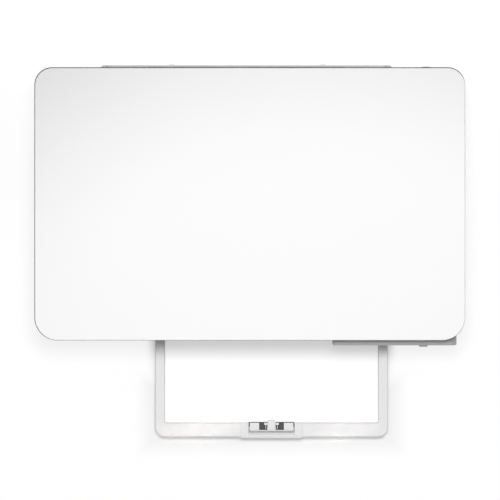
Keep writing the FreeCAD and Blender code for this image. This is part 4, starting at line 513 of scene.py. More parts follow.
outside = beyond(tree, TRAY_ZONE)
band = fade(tree, beyond(tree, SHADE_RING_ZONE), *SHADE_RING_FADE)
share = maths(tree, "MINIMUM", fade(tree, outside, *TRAY_FADE), band)
parts = fade(tree, outside, *CORE_FADE), share, fade(tree, outside, *FAR_FADE)
levels = list(TABLE_GLOW.values())
glow_here = levels[0]
for part, change in zip(parts, np.diff(levels)):
    glow_here = maths(tree, "MULTIPLY_ADD", part, float(change), glow_here)
seen = camera_share(tree)
tree.links.new(maths(tree, "MULTIPLY", seen, glow_here), glow.inputs["Strength"])
inner, outer = ((white, white, white) for white in TABLE_WHITE)
white_here = blend_colours(tree, share, inner, outer)
seen_white = blend_colours(tree, seen, (TABLE_BOUNCE,) * 3, white_here)
tree.links.new(seen_white, shader.inputs["Base Color"])
both = tree.nodes.new("ShaderNodeAddShader")
tree.links.new(shader.outputs[0], both.inputs[0])
tree.links.new(glow.outputs[0], both.inputs[1])
tree.links.new(both.outputs[0], tree.nodes["Material Output"].inputs["Surface"])
table_mesh.materials.append(table_finish)
print("table glow:", TABLE_GLOW)

# %% [markdown]
# The sky stands for the studio's white walls. It is white to the camera and to reflections, and it
# gives only a mild fill to surfaces, so that shadows stay.

# %% Sky
SKY_FILL = 0.36
world = bpy.data.worlds.new("studio_sky")
scene.world = world
world.use_nodes = True
tree = world.node_tree
sky = tree.nodes["Background"]
sky.inputs["Color"].default_value = (1.0, 1.0, 1.0, 1.0)
strength = maths(tree, "MULTIPLY_ADD", camera_share(tree), 1.0 - SKY_FILL, SKY_FILL)
tree.links.new(strength, sky.inputs["Strength"])
print("sky fill:", SKY_FILL)

# %% [markdown]
# The photograph's light is one big soft source overhead, a little behind and to the right: the
# tray's legs fall dark close to the case, and the lid is brightest right of its middle and dimmest
# at its far left corner. A wide spot with a soft edge gives that slope across the lid.

# %% Key light
KEY_PLACE, KEY_AIM = (0.03, 0.22, 1.85), (0.066, -0.240, 0.09)
KEY_POWER = 77.0
KEY_SOFT = 0.20
KEY_CONE = math.radians(38.9)
KEY_EDGE = 0.44


def hang(lamp_data, place, target):
    """Put a lamp at its place, turned so that its own -Z axis points at the target."""
    lamp = bpy.data.objects.new(lamp_data.name, lamp_data)
    lamp.location = place
    lamp.rotation_euler = (Vector(target) - Vector(place)).to_track_quat("-Z", "Y").to_euler()
    scene.collection.objects.link(lamp)


key_data = bpy.data.lights.new("key_light", "SPOT")
key_data.energy = KEY_POWER
key_data.shadow_soft_size = KEY_SOFT
key_data.spot_size = KEY_CONE
key_data.spot_blend = KEY_EDGE
hang(key_data, KEY_PLACE, KEY_AIM)
print("key power:", KEY_POWER)

# %% [markdown]
# Weak helpers do what a white studio wall does: a low broad one in front fills the shade below the
# lid's front edge, and two narrow strips lift the halves of the tray's bar to the brightness of the
# lid. They leave out the middle of the bar, so the stop's windows stay dark.

# %% Fill lights
STRIP_X = {"bar_strip_left": -0.046, "bar_strip_right": 0.086}
STRIP_Y, STRIP_Z = -0.1635, 0.95
# Place, aim, size, power, and spread in degrees
FILLS = {"front_fill": ((0.10, -1.50, 0.55), (0.05, -0.10, 0.05), (1.2, 0.5), 1.5, 180.0)}
for name, x in STRIP_X.items():
    FILLS[name] = (x, STRIP_Y, STRIP_Z), (x, STRIP_Y, 0.0), (0.064, 0.014), 0.0008, 2.0
for name, (place, target, size, power, spread) in FILLS.items():
    lamp_data = bpy.data.lights.new(name, "AREA")
    lamp_data.shape = "RECTANGLE"
    lamp_data.size, lamp_data.size_y = size
    lamp_data.energy = power
    lamp_data.spread = math.radians(spread)
    hang(lamp_data, place, target)
print("fill lights:", len(FILLS))

# %% [markdown]
# The lid is one thin white shell with a skirt, rounded harder at the front corners than at the
# rear. A stack of rings follows the moulding from its ceiling, down the inner wall, round the rim,
# up the skirt and over a small rounded edge on to the top. One more ring just inside that edge
# keeps the top flat.

# %% The lid
WALL = 2.4 * MM
LID_FRONT, LID_REAR = mm(20.7, 15.7)
LID_STEPS = 16
LID_UNDER = 83.4 * MM
LID_NEAR, LID_BACK = mm(-78.05, 167.42)
LID_EDGE, LID_LEAD = mm(0.6, 0.3)
LID_FILLET, RIM_INSIDE, RIM_OUTSIDE = mm(0.8, 0.2, 0.3)
lid_top = lid_high[2]
lid_near, lid_far = np.array([lid_low[0], LID_NEAR]), np.array([lid_high[0], LID_BACK])


def lid_ring(inset, z):
    """The lid's outline drawn in by an inset, at a height."""
    outline = rounded_outline(lid_near + inset, lid_far - inset, LID_FRONT - inset,
                              LID_REAR - inset, LID_STEPS)
    return at_height(outline, z)


edge_inset, edge_drop = soft_edge(LID_EDGE)
lid_path = [(WALL + LID_FILLET, lid_top - WALL), (WALL, lid_top - WALL - LID_FILLET),
            (WALL, LID_UNDER + RIM_INSIDE), (WALL - RIM_INSIDE, LID_UNDER),
            (RIM_OUTSIDE, LID_UNDER), (0.0, LID_UNDER + RIM_OUTSIDE)]
lid_path += [*zip(edge_inset, lid_top - edge_drop), (LID_EDGE + LID_LEAD, lid_top)]
lid_shell = shell([lid_ring(inset, z) for inset, z in lid_path])
print("lid rings:", len(lid_path))

# %% [markdown]
# Under the lid, low ribs with a little draft stop the wide sheet from drumming, and two knuckles
# reach down to the hinge pins. The knuckle is a tube, so the pin has room to turn in it.

# %% The lid's ribs and hinge knuckles
RIB_FOOT, RIB_TOP = mm(0.5, 0.8)
RIB_Z = (85.2 * MM, lid_top - 0.5 * WALL)
CROSS_RIBS = np.array([-34.0, 18.0, 70.0, 122.0]) * MM
LONG_RIBS = np.array([-128.0, -64.0, 0.0, 64.0, 128.0]) * MM
HINGE = np.array(joints["lid_hinge"]["pos_m"])
HINGE_X = 150.0 * MM
KNUCKLE_HALF = 7.0 * MM
KNUCKLE_TUBE = mm(1.65, 2.9)
WEB_LIFT, WEB_SHORT, WEB_ROUND = mm(1.9, 0.2, 0.6)
rib_section = np.array([(-RIB_FOOT, RIB_Z[0]), (RIB_FOOT, RIB_Z[0]),
                        (RIB_TOP, RIB_Z[1]), (-RIB_TOP, RIB_Z[1])])
cross_ends = np.array([lid_low[0], lid_high[0]]) * (1 - 0.5 * WALL / lid_high[0])
cross_rings = [carried(rib_section + (y, 0.0), cross_ends) for y in CROSS_RIBS]
long_ends = np.array([lid_low[1] + 0.5 * WALL, LID_BACK - 0.5 * WALL])
long_rings = [carried(rib_section + (x, 0.0), long_ends)[..., [1, 0, 2]] for x in LONG_RIBS]
inner, outer = KNUCKLE_TUBE
tube = np.array([(-KNUCKLE_HALF, inner), (KNUCKLE_HALF, inner),
                 (KNUCKLE_HALF, outer), (-KNUCKLE_HALF, outer)])
web = rounded_outline((HINGE[1] - outer, HINGE[2] + WEB_LIFT),
                      (LID_BACK - WEB_SHORT, lid_top - 0.5 * WALL), WEB_ROUND, WEB_ROUND, 4)
lid_parts = [lid_shell] + [shell(rings) for rings in cross_rings + long_rings]
for x in (-HINGE_X, HINGE_X):
    lid_parts.append(shell(turned(tube, (x, HINGE[1], HINGE[2]), 0, 32), closed=True))
    lid_parts.append(shell(carried(web, (x - KNUCKLE_HALF, x + KNUCKLE_HALF))))
settle(piece("lid_cover", *lid_parts), "lid", "lid_white", "lid")

# %% [markdown]
# A thin dark strip runs round the lid just below its rounded edge: it is painted shade, standing in for the shade
# on the lid's edge. From above it draws a fine line, bold along the back, finer on the left and hardly there on
# the right and at the front, as that shade falls. Its section follows the lid's outline, and its reach beyond the
# skirt changes smoothly with the direction it faces. Behind the lid it draws in over the width of the sliding
# paper support, which needs that room.

# %% The lid's painted edge shade
SHADE_LINE_Z, SHADE_LINE_BREAK = mm(86.0, 89.9), mm(0.4, 0.3)
SHADE_LINE_IN = 0.4 * MM
SHADE_LINE_REACH = {"back": 0.72 * MM, "left": 0.55 * MM, "right": 0.15 * MM, "front": 0.25 * MM}
SHADE_LINE_FADE = 1.2
SHADE_LINE_AT_SUPPORT = 0.15 * MM
SHADE_LINE_TURN = np.array([0.4, 0.25]) * MM
BACK_START = 2 * LID_STEPS
support_low, support_high = np.array(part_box("paper_support"))
turn_x = np.concatenate([support_high[0] + SHADE_LINE_TURN, support_low[0] - SHADE_LINE_TURN[::-1]])


def shade_line_outline(inset):
    """The lid's outline with four more points behind, where the shade line draws in and out again."""
    turns = np.column_stack([turn_x, np.full(len(turn_x), LID_BACK - inset)])
    return np.insert(lid_ring(inset, 0.0)[:, :2], BACK_START, turns, axis=0)


edge_line = shade_line_outline(0.0)
facing = edge_line - shade_line_outline(1.0 * MM)
facing /= np.linalg.norm(facing, axis=1)[:, None]
toward = {"back": facing[:, 1], "front": -facing[:, 1],
          "left": -facing[:, 0], "right": facing[:, 0]}
# Painted shade: the dark line is widest where the lid's edge faces the back and narrowest on the right, as the
# edge's shade falls.
reach = sum(SHADE_LINE_REACH[side] * np.maximum(share, 0.0) ** SHADE_LINE_FADE
            for side, share in toward.items())
reach[BACK_START + 1:BACK_START + 3] = SHADE_LINE_AT_SUPPORT
buried = np.full_like(reach, -SHADE_LINE_IN)
shade_line_offsets = np.stack([buried, reach, reach, buried], axis=1)
shade_line_heights = np.array([SHADE_LINE_Z[0], SHADE_LINE_Z[0] + SHADE_LINE_BREAK[0],
                         SHADE_LINE_Z[1] - SHADE_LINE_BREAK[1], SHADE_LINE_Z[1]])
shade_line_flat = edge_line[:, None, :] + facing[:, None, :] * shade_line_offsets[..., None]
shade_line_shell = shell(raised(shade_line_flat, shade_line_heights), closed=True)
settle(piece("lid_edge_trim", shade_line_shell), "lid", "inner_black")

# %% [markdown]
# The rear tray's flap has a rounded bead along its top edge, and the support that slides up out of
# it has a dark grip strip with a thin light rim behind. All are rounded outlines stacked into low
# pads.

# %% The rear flap's bead and the support's grip
PAD_FOOT = 0.15 * MM


def rounded_pad(low, high, corner, edge):
    """A pad between two corners: outlines drawn in at the foot and over a soft top edge."""
    low, high = np.asarray(low), np.asarray(high)
    inset, drop = soft_edge(edge)
    path = [(PAD_FOOT, low[2]), (0.0, low[2] + PAD_FOOT), *zip(inset, high[2] - drop)]
    return shell([at_height(rounded_outline(low[:2] + draw, high[:2] - draw, corner - draw,
                                            corner - draw, 6), z) for draw, z in path])


flap_top = np.array(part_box("input_tray"))[1, 2]
FLAP_X = mm(-128.7, 122.3)
FLAP_BACK = 170.8 * MM
PAD_SUNK, SUPPORT_GAP = mm(0.2, 0.02)
BEAD_GAP, BEAD_RISE, BEAD_CORNER, BEAD_EDGE = mm(0.1, 0.5, 0.65, 0.4)
GRIP_DEEP, GRIP_CORNER, GRIP_EDGE = mm(1.2, 0.25, 0.2)
RIM_RISE, RIM_ROUND = mm(0.3, 0.15)
bead = rounded_pad((FLAP_X[0], support_high[1] + BEAD_GAP, flap_top - PAD_SUNK),
                   (FLAP_X[1], FLAP_BACK, flap_top + BEAD_RISE), BEAD_CORNER, BEAD_EDGE)
settle(piece("flap_top_bead", bead), "input_tray", "flap_grey")
grip_back, grip_foot = support_low[1] + GRIP_DEEP, support_high[2] - PAD_SUNK
grip = rounded_pad((support_low[0], support_low[1] + SUPPORT_GAP, grip_foot),
                   (support_high[0], grip_back, flap_top), GRIP_CORNER, GRIP_EDGE)
settle(piece("support_grip", grip), "paper_support", "roller_rubber")
rim = rounded_pad((support_low[0], grip_back, grip_foot),
                  (support_high[0], support_high[1] - SUPPORT_GAP, flap_top + RIM_RISE),
                  RIM_ROUND, RIM_ROUND)
settle(piece("support_rim", rim), "paper_support", "flap_grey")

# %% [markdown]
# The output tray is a U of satin plastic bar. Each ring is a rounded section between an inner and
# an outer curve: the outer corner is a wide arc and the inner one a tight arc, and the section
# stretches from the slim leg to the deeper end bar between them.

# %% The tray's frame
TRAY_X = mm(-88.0, 128.0)
TRAY_Z = mm(7.0, 15.0)
TRAY_END = -32.4 * MM
TRAY_FRONT = -170.1 * MM
BAR_INNER = -157.1 * MM
LEG = 9.0 * MM
OUTER_TURN, INNER_TURN, TURN_LEAD = mm(9.0, 2.0, 0.5)
HOUSING_X = 20.0 * MM
HOUSING_HALF = 29.0 * MM
LEG_STEPS, TURN_STEPS, BAR_STEPS, CORNER_STEPS = 6, 14, 5, 5
TRAY_ROUND, FLAT_LEAD = mm(1.0, 0.3)


def half_frame(side):
    """Inner and outer curves of one leg, its corner and its half of the bar; side is -1 or 1."""
    edge = TRAY_X[0] if side < 0 else TRAY_X[1]
    bar_end = HOUSING_X + side * HOUSING_HALF
    quarter = np.linspace(0.0, np.pi / 2, TURN_STEPS)
    sweep = np.column_stack([side * np.cos(quarter), -np.sin(quarter)])
    curves = []
    for start, front, turn in ((edge - side * LEG, BAR_INNER, INNER_TURN),
                               (edge, TRAY_FRONT, OUTER_TURN)):
        middle = np.array([start - side * turn, front + turn])
        leg = np.linspace((start, TRAY_END), (start, middle[1] + TURN_LEAD), LEG_STEPS)
        bar = np.linspace((middle[0] - side * TURN_LEAD, front), (bar_end, front), BAR_STEPS)
        curves.append(np.concatenate([leg, middle + turn * sweep, bar]))
    return curves


def bar_rings(inside, outside, round_off):
    """A rounded rectangle at every station, as wide as the gap between the two curves.

    Each corner is a quarter circle with one more point on the flat at either side of it, so that
    the flats shade as flats.
    """
    middle, reach = (inside + outside) / 2, outside - inside
    width = np.linalg.norm(reach, axis=1)
    across = reach / width[:, None]
    quarter = np.concatenate([[0.0], np.linspace(0.0, np.pi / 2, CORNER_STEPS), [np.pi / 2]])
    turn = (np.arange(4)[:, None] * np.pi / 2 + quarter).ravel()
    slide = np.tile([-FLAT_LEAD] + [0.0] * CORNER_STEPS + [FLAT_LEAD], 4)
    sides = np.repeat([1.0, -1.0, -1.0, 1.0], len(quarter))
    tops = np.repeat([1.0, 1.0, -1.0, -1.0], len(quarter))
    over = sides * (width[:, None] / 2 - round_off)
    over = over + round_off * np.cos(turn) - slide * np.sin(turn)
    flat = middle[:, None, :] + across[:, None, :] * over[..., None]
    z = sum(TRAY_Z) / 2 + tops * ((TRAY_Z[1] - TRAY_Z[0]) / 2 - round_off)
    return raised(flat, z + round_off * np.sin(turn) + slide * np.cos(turn))


tray_parts = [shell(bar_rings(*half_frame(side), TRAY_ROUND)) for side in (-1, 1)]
print("tray halves:", len(tray_parts))

# %% [markdown]
# Snap hooks at the ends of the legs keep the tray on its rails. In the middle of the bar sits the
# housing of the paper stop: a section carried along X that bulges out at its shoulders, has a fine
# groove at each cheek and opens into a well between them.

# %% The tray's hooks and stop housing
HOOK_OUT, HOOK_LONG, HOOK_TOP, HOOK_NOSE = mm(1.5, 8.0, 13.5, 0.2)
HOUSING_FRONT, HOUSING_TOP = mm(-171.5, 15.4)
WELL_HALF, WELL_FRONT, WELL_FLOOR = mm(21.25, -165.9, 8.5)
SLOPE_TOP, SLOPE_FOOT = mm(-168.0, 14.0)
FRONT_BREAK, REAR_BREAK, WELL_DRAFT = mm(0.6, 0.3, 0.1)
for side, edge in zip((-1, 1), TRAY_X):
    inner, outer = edge - side * HOOK_OUT, edge + side * HOOK_OUT
    hook = np.array([(inner, TRAY_END - HOOK_LONG), (outer, TRAY_END - HOOK_LONG),
                     (outer, TRAY_END - 0.5 * HOOK_LONG), (edge + side * HOOK_NOSE, TRAY_END),
                     (inner, TRAY_END)])
    tray_parts.append(shell([at_height(hook, z) for z in (TRAY_Z[0], HOOK_TOP)]))


def housing_sections(front, top, well):
    """Sections in YZ: front wall, sloped inner edge, then the well's floor or the solid cheek.

    front, top and well are arrays over the stations; well is 1 inside the well and 0 in the cheeks.
    """
    low, rear = np.full_like(front, TRAY_Z[0]), np.full_like(front, BAR_INNER)
    sunk = top + well * (WELL_FLOOR - top)
    foot = top + well * (SLOPE_FOOT - top)
    wall, slope = np.full_like(front, WELL_FRONT), np.full_like(front, SLOPE_TOP)
    quarter = np.linspace(0.0, np.pi / 2, CORNER_STEPS)[:, None]
    nose_y = front + TRAY_ROUND * (1 - np.sin(quarter))
    nose_z = top - TRAY_ROUND * (1 - np.cos(quarter))
    rows = [(front + FRONT_BREAK, low), (rear - REAR_BREAK, low), (rear, low + REAR_BREAK),
            (rear, sunk - REAR_BREAK), (rear - REAR_BREAK, sunk), (wall, sunk),
            (wall - WELL_DRAFT, foot), (slope, top), *zip(nose_y, nose_z),
            (front, low + FRONT_BREAK)]
    return np.stack([np.stack(row, axis=-1) for row in rows], axis=1)


# Distance from the middle, setback of the front and drop of the top in mm, and 1 in the well
half_stations = np.array([
    (29.0, 1.4, 0.4, 0), (28.7, 0.8, 0.25, 0), (28.2, 0.35, 0.1, 0), (27.2, 0.05, 0.0, 0),
    (26.0, 0.0, 0.0, 0), (23.7, 0.0, 0.0, 0), (23.55, 0.0, 0.35, 0), (23.25, 0.0, 0.35, 0),
    (23.1, 0.0, 0.0, 0), (21.4, 0.0, 0.0, 0), (21.25, 0.0, 0.0, 1)])
half_stations[:, :3] *= MM
places, setback, drop, well = np.concatenate([half_stations * (-1, 1, 1, 1),
                                              half_stations[::-1]]).T
sections = housing_sections(HOUSING_FRONT + setback, HOUSING_TOP - drop, well)
tray_parts.append(shell(carried(sections, HOUSING_X + places)))
settle(piece("tray_frame", *tray_parts), "output_tray", "tray_white", "output_tray")

# %% [markdown]
# A plate with holes is a grid of cells, some left out: each kept cell gives a top and a bottom, and
# each edge between a kept and an empty cell gives a wall. The paper stop needs such a plate, for
# its windows and notches go right through.


# %% A plate with holes from a grid of cells
def pierced_plate(xs, ys, kept, low, high):
    """Points and faces of a flat plate over the kept cells of an uneven grid."""
    xs, ys = np.asarray(xs), np.asarray(ys)
    wide, deep = len(xs), len(ys)
    flat = np.stack(np.meshgrid(xs, ys, indexing="ij"), axis=-1).reshape(-1, 2)
    points = np.concatenate([at_height(flat, z) for z in (low, high)])
    number = np.arange(wide * deep).reshape(wide, deep)
    lift = wide * deep
    i, j = np.nonzero(kept)
    corners = number[i, j], number[i + 1, j], number[i + 1, j + 1], number[i, j + 1]
    top = np.stack(corners, axis=-1)
    faces = [top + lift, top[:, ::-1]]
    room = np.pad(kept, 1).astype(int)
    for step, pick in ((np.diff(room[:, 1:-1], axis=0), 0), (np.diff(room[1:-1], axis=1), 1)):
        i, j = np.nonzero(step)
        first = number[i, j] if pick == 0 else number[i + 1, j]
        second = number[i, j + 1] if pick == 0 else number[i, j]
        wall = np.stack([second, first, first + lift, second + lift], axis=-1)
        turned_wall = step[i, j] < 0
        wall[turned_wall] = wall[turned_wall][:, ::-1]
        faces.append(wall)
    used, packed = np.unique(np.concatenate(faces), return_inverse=True)
    return points[used], packed.reshape(-1, 4).tolist()


# %% [markdown]
# The paper stop lies folded in the well: a plate with two windows and small notches beside its
# finger knob, and a barrel along its front edge that turns on two short pins. Where the windows and
# notches open, only a front sliver of the barrel is left.

# %% The paper stop
STOP_AXIS = np.array(joints["paper_stop_hinge"]["pos_m"])
STOP_HALF, WINDOW_OUT, KNOB_HALF = mm(20.2, 11.45, 3.9)
STOP_Z = mm(12.0, 15.0)
BARREL = 2.8 * MM
PIN, PIN_LONG, PIN_BREAK = mm(1.25, 1.0, 0.1)
half_columns = np.array([KNOB_HALF, *mm(5.1, 5.6, 6.75), WINDOW_OUT, STOP_HALF])
columns = np.concatenate([-half_columns[::-1], half_columns])
rows = np.array([STOP_AXIS[1], *mm(-159.0, -158.1), BAR_INNER])
windows, notches, knob_cell = [1, 9], [2, 4, 6, 8], 5
kept = np.ones((len(columns) - 1, len(rows) - 1), dtype=bool)
kept[windows] = False
kept[notches, 0] = False
kept[knob_cell] = False
plate = pierced_plate(HOUSING_X + columns, rows, kept, *STOP_Z)


def barrel_section(start, end, steps):
    """Part of the barrel's circle between two angles, shut by a chord."""
    turn = np.radians(np.linspace(start, end, steps))
    return STOP_AXIS[1:] + BARREL * np.column_stack([np.cos(turn), np.sin(turn)])


whole, sliver = (barrel_section(*ends) for ends in ((0, 350, 36), (110, 250, 16)))
SPANS = ((-STOP_HALF, -WINDOW_OUT, whole), (-WINDOW_OUT, -KNOB_HALF, sliver),
         (-KNOB_HALF, KNOB_HALF, whole), (KNOB_HALF, WINDOW_OUT, sliver),
         (WINDOW_OUT, STOP_HALF, whole))
stop_parts = [plate] + [shell(carried(section, HOUSING_X + np.array(ends)))
                        for *ends, section in SPANS]
for side in (-1, 1):
    pin = np.array([(0.0, PIN), (PIN_LONG - PIN_BREAK, PIN), (PIN_LONG, PIN - PIN_BREAK)])
    middle = (HOUSING_X + side * STOP_HALF, *STOP_AXIS[1:])
    stop_parts.append(shell(turned(pin * (side, 1), middle, 0, 24)))
KNOB_REAR, KNOB_FRONT_ROUND, KNOB_REAR_ROUND = mm(-154.6, 0.3, 2.2)
# Inset, and height above the plate's underside, in mm
KNOB_PATH = [(0.3, 0.0), (0.0, 0.3), (0.0, 2.2), (0.25, 2.7), (0.7, 2.95), (1.4, 3.0)]
stop_parts.append(shell([at_height(rounded_outline(
    (HOUSING_X - KNOB_HALF + inset, STOP_AXIS[1]),
    (HOUSING_X + KNOB_HALF - inset, KNOB_REAR - inset),
    KNOB_FRONT_ROUND, KNOB_REAR_ROUND - inset, 8), STOP_Z[0] + rise)
    for inset, rise in np.array(KNOB_PATH) * MM]))
settle(piece("stop_flap", *stop_parts), "paper_stop", "tray_white", "paper_stop", bevel=0.2 * MM)

# %% [markdown]
# Under each window lies a dark pad that shows through it. The pad has two levels: a deep rear half and a raised
# front half, which catches a little more light. A dark sheet of painted shade joins the pads, lies under the rear
# half of the whole flap and reaches a little past its rear edge, so the narrow gaps at its ends and behind it look
# deep and shaded.

# %% The dark pads under the windows, and a sheet of painted shade
low, high = np.array(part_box("stop_pads"))
PAD_X, STEP_X = mm(4.0, 12.3), mm(6.9, 11.3)
STEP_Y = mm(-162.9, -159.1)
PAD_RISE, PAD_LAP, PAD_ROUND = mm(0.2, 0.1, 0.4)
SHADE_SHEET_Y, SHADE_SHEET_GAP = mm(-161.0, -156.5), 0.05 * MM


def low_block(x_ends, y_ends, z_ends):
    """A flat block with small rounded corners."""
    outline = rounded_outline(*zip(x_ends, y_ends), PAD_ROUND, PAD_ROUND, 4)
    return shell([at_height(outline, z) for z in z_ends])


pads, raised_steps = ([np.sort(HOUSING_X + side * np.array(span)) for side in (-1, 1)]
                      for span in (PAD_X, STEP_X))
floors = [low_block(pad, (low[1], high[1]), (low[2], high[2])) for pad in pads]
# Painted shade: a dark sheet under the flap's end gaps and just past its rear edge.
shade_sheet_x = HOUSING_X + (WELL_HALF - SHADE_SHEET_GAP) * np.array([-1, 1])
floors.append(low_block(shade_sheet_x, SHADE_SHEET_Y, (low[2], high[2] - PAD_LAP)))
step_z = (high[2] - PAD_LAP, high[2] + PAD_RISE)
steps = [low_block(step, STEP_Y, step_z) for step in raised_steps]
settle(piece("stop_pad_floors", *floors), "output_tray", "inner_black", "stop_pads")
settle(piece("stop_pad_steps", *steps), "output_tray", "supply_dark", bevel=0.15 * MM)

# %% [markdown]
# The control panel stands proud of the case at its right front corner. It is a frame with a soft
# outer edge and a thin plate set into it. The frame is a stack of outlines from back to front,
# rounded widely at the right end and tightly at the left. It fills a square opening, so a seat in
# the case's own colour closes the opening's corners; the seat's face follows the case's wall, which
# bends round at the right.

# %% The control panel's frame
panel_low, panel_high = np.array(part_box("control_panel"))
panel_back = panel_high[1]
PANEL_FACE, PANEL_PLATE, PLATE_BACK = mm(-83.3, -82.9, -81.0)
PANEL_LEFT, PANEL_RIGHT, LEAST_ROUND = mm(2.6, 7.0, 0.2)
PANEL_EDGE, PANEL_LEAD = mm(1.3, 0.3)
PANEL_RIM, RIM_BREAK = mm(3.0, 0.2)
SEAT_FRONT, SEAT_ROUND, SEAT_GAP = mm(-78.45, 0.6, 0.05)
CASE_CORNER, CASE_BEND_X = mm(21.5, 173.2)


def panel_ring(inset, y, left, right):
    """The panel's outline drawn in by an inset, at a depth y; left and right are corner radii."""
    radii = (max(radius - inset, LEAST_ROUND) for radius in (left, right))
    outline = rounded_outline(panel_low[[2, 0]] + inset, panel_high[[2, 0]] - inset, *radii, 10)
    return np.insert(outline[:, ::-1], 1, y, axis=1)


def seat_ring(inset, left, right):
    """A panel outline on the case's front wall: flat, then falling back along the corner's arc."""
    ring = panel_ring(inset, 0.0, left, right)
    past = np.maximum(ring[:, 0] - CASE_BEND_X, 0.0)
    ring[:, 1] = SEAT_FRONT + CASE_CORNER - np.sqrt(CASE_CORNER ** 2 - past ** 2)
    return ring


edge_inset, edge_drop = soft_edge(PANEL_EDGE)
panel_path = [(0.0, panel_back), (0.0, PANEL_FACE + PANEL_EDGE + PANEL_LEAD),
              *zip(edge_inset, PANEL_FACE + edge_drop), (PANEL_RIM - RIM_BREAK, PANEL_FACE),
              (PANEL_RIM, PANEL_FACE + RIM_BREAK), (PANEL_RIM, panel_back)]
panel_rings = [panel_ring(inset, y, PANEL_LEFT, PANEL_RIGHT) for inset, y in panel_path]
panel_parts = [shell(panel_rings, closed=True)]
seat_edges = (0.0, SEAT_ROUND, SEAT_ROUND), (SEAT_GAP, PANEL_LEFT, PANEL_RIGHT)
seat_out, seat_in = (seat_ring(*edge) for edge in seat_edges)
back_out, back_in = (panel_ring(inset, panel_back, *radii) for inset, *radii in seat_edges)
seat = shell([back_out, seat_out, seat_in, back_in], closed=True)
settle(piece("panel_seat", seat), "base", "casing_grey")

# %% [markdown]
# The plate has round bores for three lamps and the button. A tile with a bore is a ring of rays
# from the bore's middle: each ray gives one point on the circle and one on the tile's edge. Plain
# tiles fill the rest, so the plate reads as one flat sheet.

# %% The control panel's plate
BUTTON_BORE, LAMP_BORE = mm(4.5, 1.6)
PLATE_X = np.array([77.9, 95.0, 105.0, 115.0, 125.0, 148.0, 168.0, 185.1]) * MM
BORES = (None, LAMP_BORE, LAMP_BORE, LAMP_BORE, None, BUTTON_BORE, None)
PLATE_LAP, PLATE_RAYS = 0.1 * MM, 48
plate_z = (panel_low[2] + panel_high[2]) / 2
plate_half = (panel_high[2] - panel_low[2]) / 2 - PANEL_RIM + PLATE_LAP


def plate_tile(left, right, bore):
    """A tile of the plate: a ray meets its edge at the lesser of the half sizes over its slopes."""
    half = np.array([(right - left) / 2, plate_half])
    slant = math.atan2(half[1], half[0])
    turn = np.concatenate([np.linspace(0.0, 2 * np.pi, PLATE_RAYS, endpoint=False),
                           [slant, np.pi - slant, np.pi + slant, 2 * np.pi - slant]])
    ray = np.column_stack([np.cos(np.sort(turn)), np.sin(np.sort(turn))])
    edge = ray * np.min(half / np.maximum(np.abs(ray), 1e-9), axis=1)[:, None]
    stack = [(edge, PANEL_PLATE), (edge, PLATE_BACK)]
    if bore:
        stack = [(bore * ray, PLATE_BACK), (bore * ray, PANEL_PLATE)] + stack
    rings = [np.insert(flat + ((left + right) / 2, plate_z), 1, y, axis=1) for flat, y in stack]
    return shell(rings, closed=bool(bore))


panel_parts += [plate_tile(*ends, bore) for *ends, bore in zip(PLATE_X[:-1], PLATE_X[1:], BORES)]
settle(piece("panel_fascia", *panel_parts), "base", "panel_grey", "control_panel")

# %% [markdown]
# The three buttons are turned shapes: a stem and a flange behind the wall, and in front a cap with
# a rounded rim and a shallow dish for the fingertip. The profile runs along the button's own axis,
# from the end of its stem outwards.

# %% The buttons
STEM_LONG, STEM_RADIUS, STEM_BREAK = mm(3.0, 1.5, 0.2)
FLANGE_THICK, FLANGE_OVER = mm(1.8, 1.4)
POLE, CAP_ROUND, DISH_DEEP = mm(0.03, 1.4, 0.35)
cap_inset, cap_drop = soft_edge(CAP_ROUND)
dish = np.linspace(1.0, 0.0, 6)[1:]
for name, way in (("panel_button", -1), ("power_button", 1), ("wireless_button", 1)):
    low, high = np.array(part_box(name))
    wide = (high[0] - low[0]) / 2
    cap, long = wide - FLANGE_OVER, high[1] - low[1]
    neck = STEM_LONG + FLANGE_THICK
    profile = [(0.0, POLE), (0.0, STEM_RADIUS - STEM_BREAK), (STEM_BREAK, STEM_RADIUS),
               (STEM_LONG, STEM_RADIUS), (STEM_LONG, wide), (neck, wide), (neck, cap)]
    profile += zip(long - cap_drop, cap - cap_inset)
    profile += zip(long - DISH_DEEP * (1 - dish ** 2), np.maximum((cap - CAP_ROUND) * dish, POLE))
    centre = (low + high) / 2
    centre[1] = low[1] if way > 0 else high[1]
    rings = turned(np.array(profile) * (way, 1), centre, 1, 48)
    settle(piece(name + "_cap", shell(rings)), name, "button_grey", name)

# %% [markdown]
# The three lamps are clear plugs with a low dome, pressed in flush with the panel. The four feet
# are soft rubber pucks with a rounded tread edge and a shallow cup under them.

# %% Lamps and feet
LAMP_PROUD, DOME_TALL = mm(0.3, 0.4)
low, high = np.array(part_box("panel_lamps"))
radius, long = (high[2] - low[2]) / 2, high[1] - PANEL_PLATE + LAMP_PROUD
dome = np.linspace(0.0, 1.0, 6)
profile = [(0.0, POLE), (0.0, radius),
           *zip(long - DOME_TALL * (1 - dome ** 0.5), np.maximum(radius * (1 - dome), POLE))]
lamps = [shell(turned(np.array(profile) * (-1, 1), (x, high[1], (low[2] + high[2]) / 2), 1, 24))
         for x in np.linspace(low[0] + radius, high[0] - radius, 3)]
settle(piece("panel_lamp_domes", *lamps), "base", "lamp_clear", "panel_lamps")
low, high = np.array(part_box("rubber_feet"))
FOOT, FOOT_TALL, FOOT_PEG = mm(8.0, 2.5, 2.5)
PEG_BREAK = mm(0.4, 0.5)
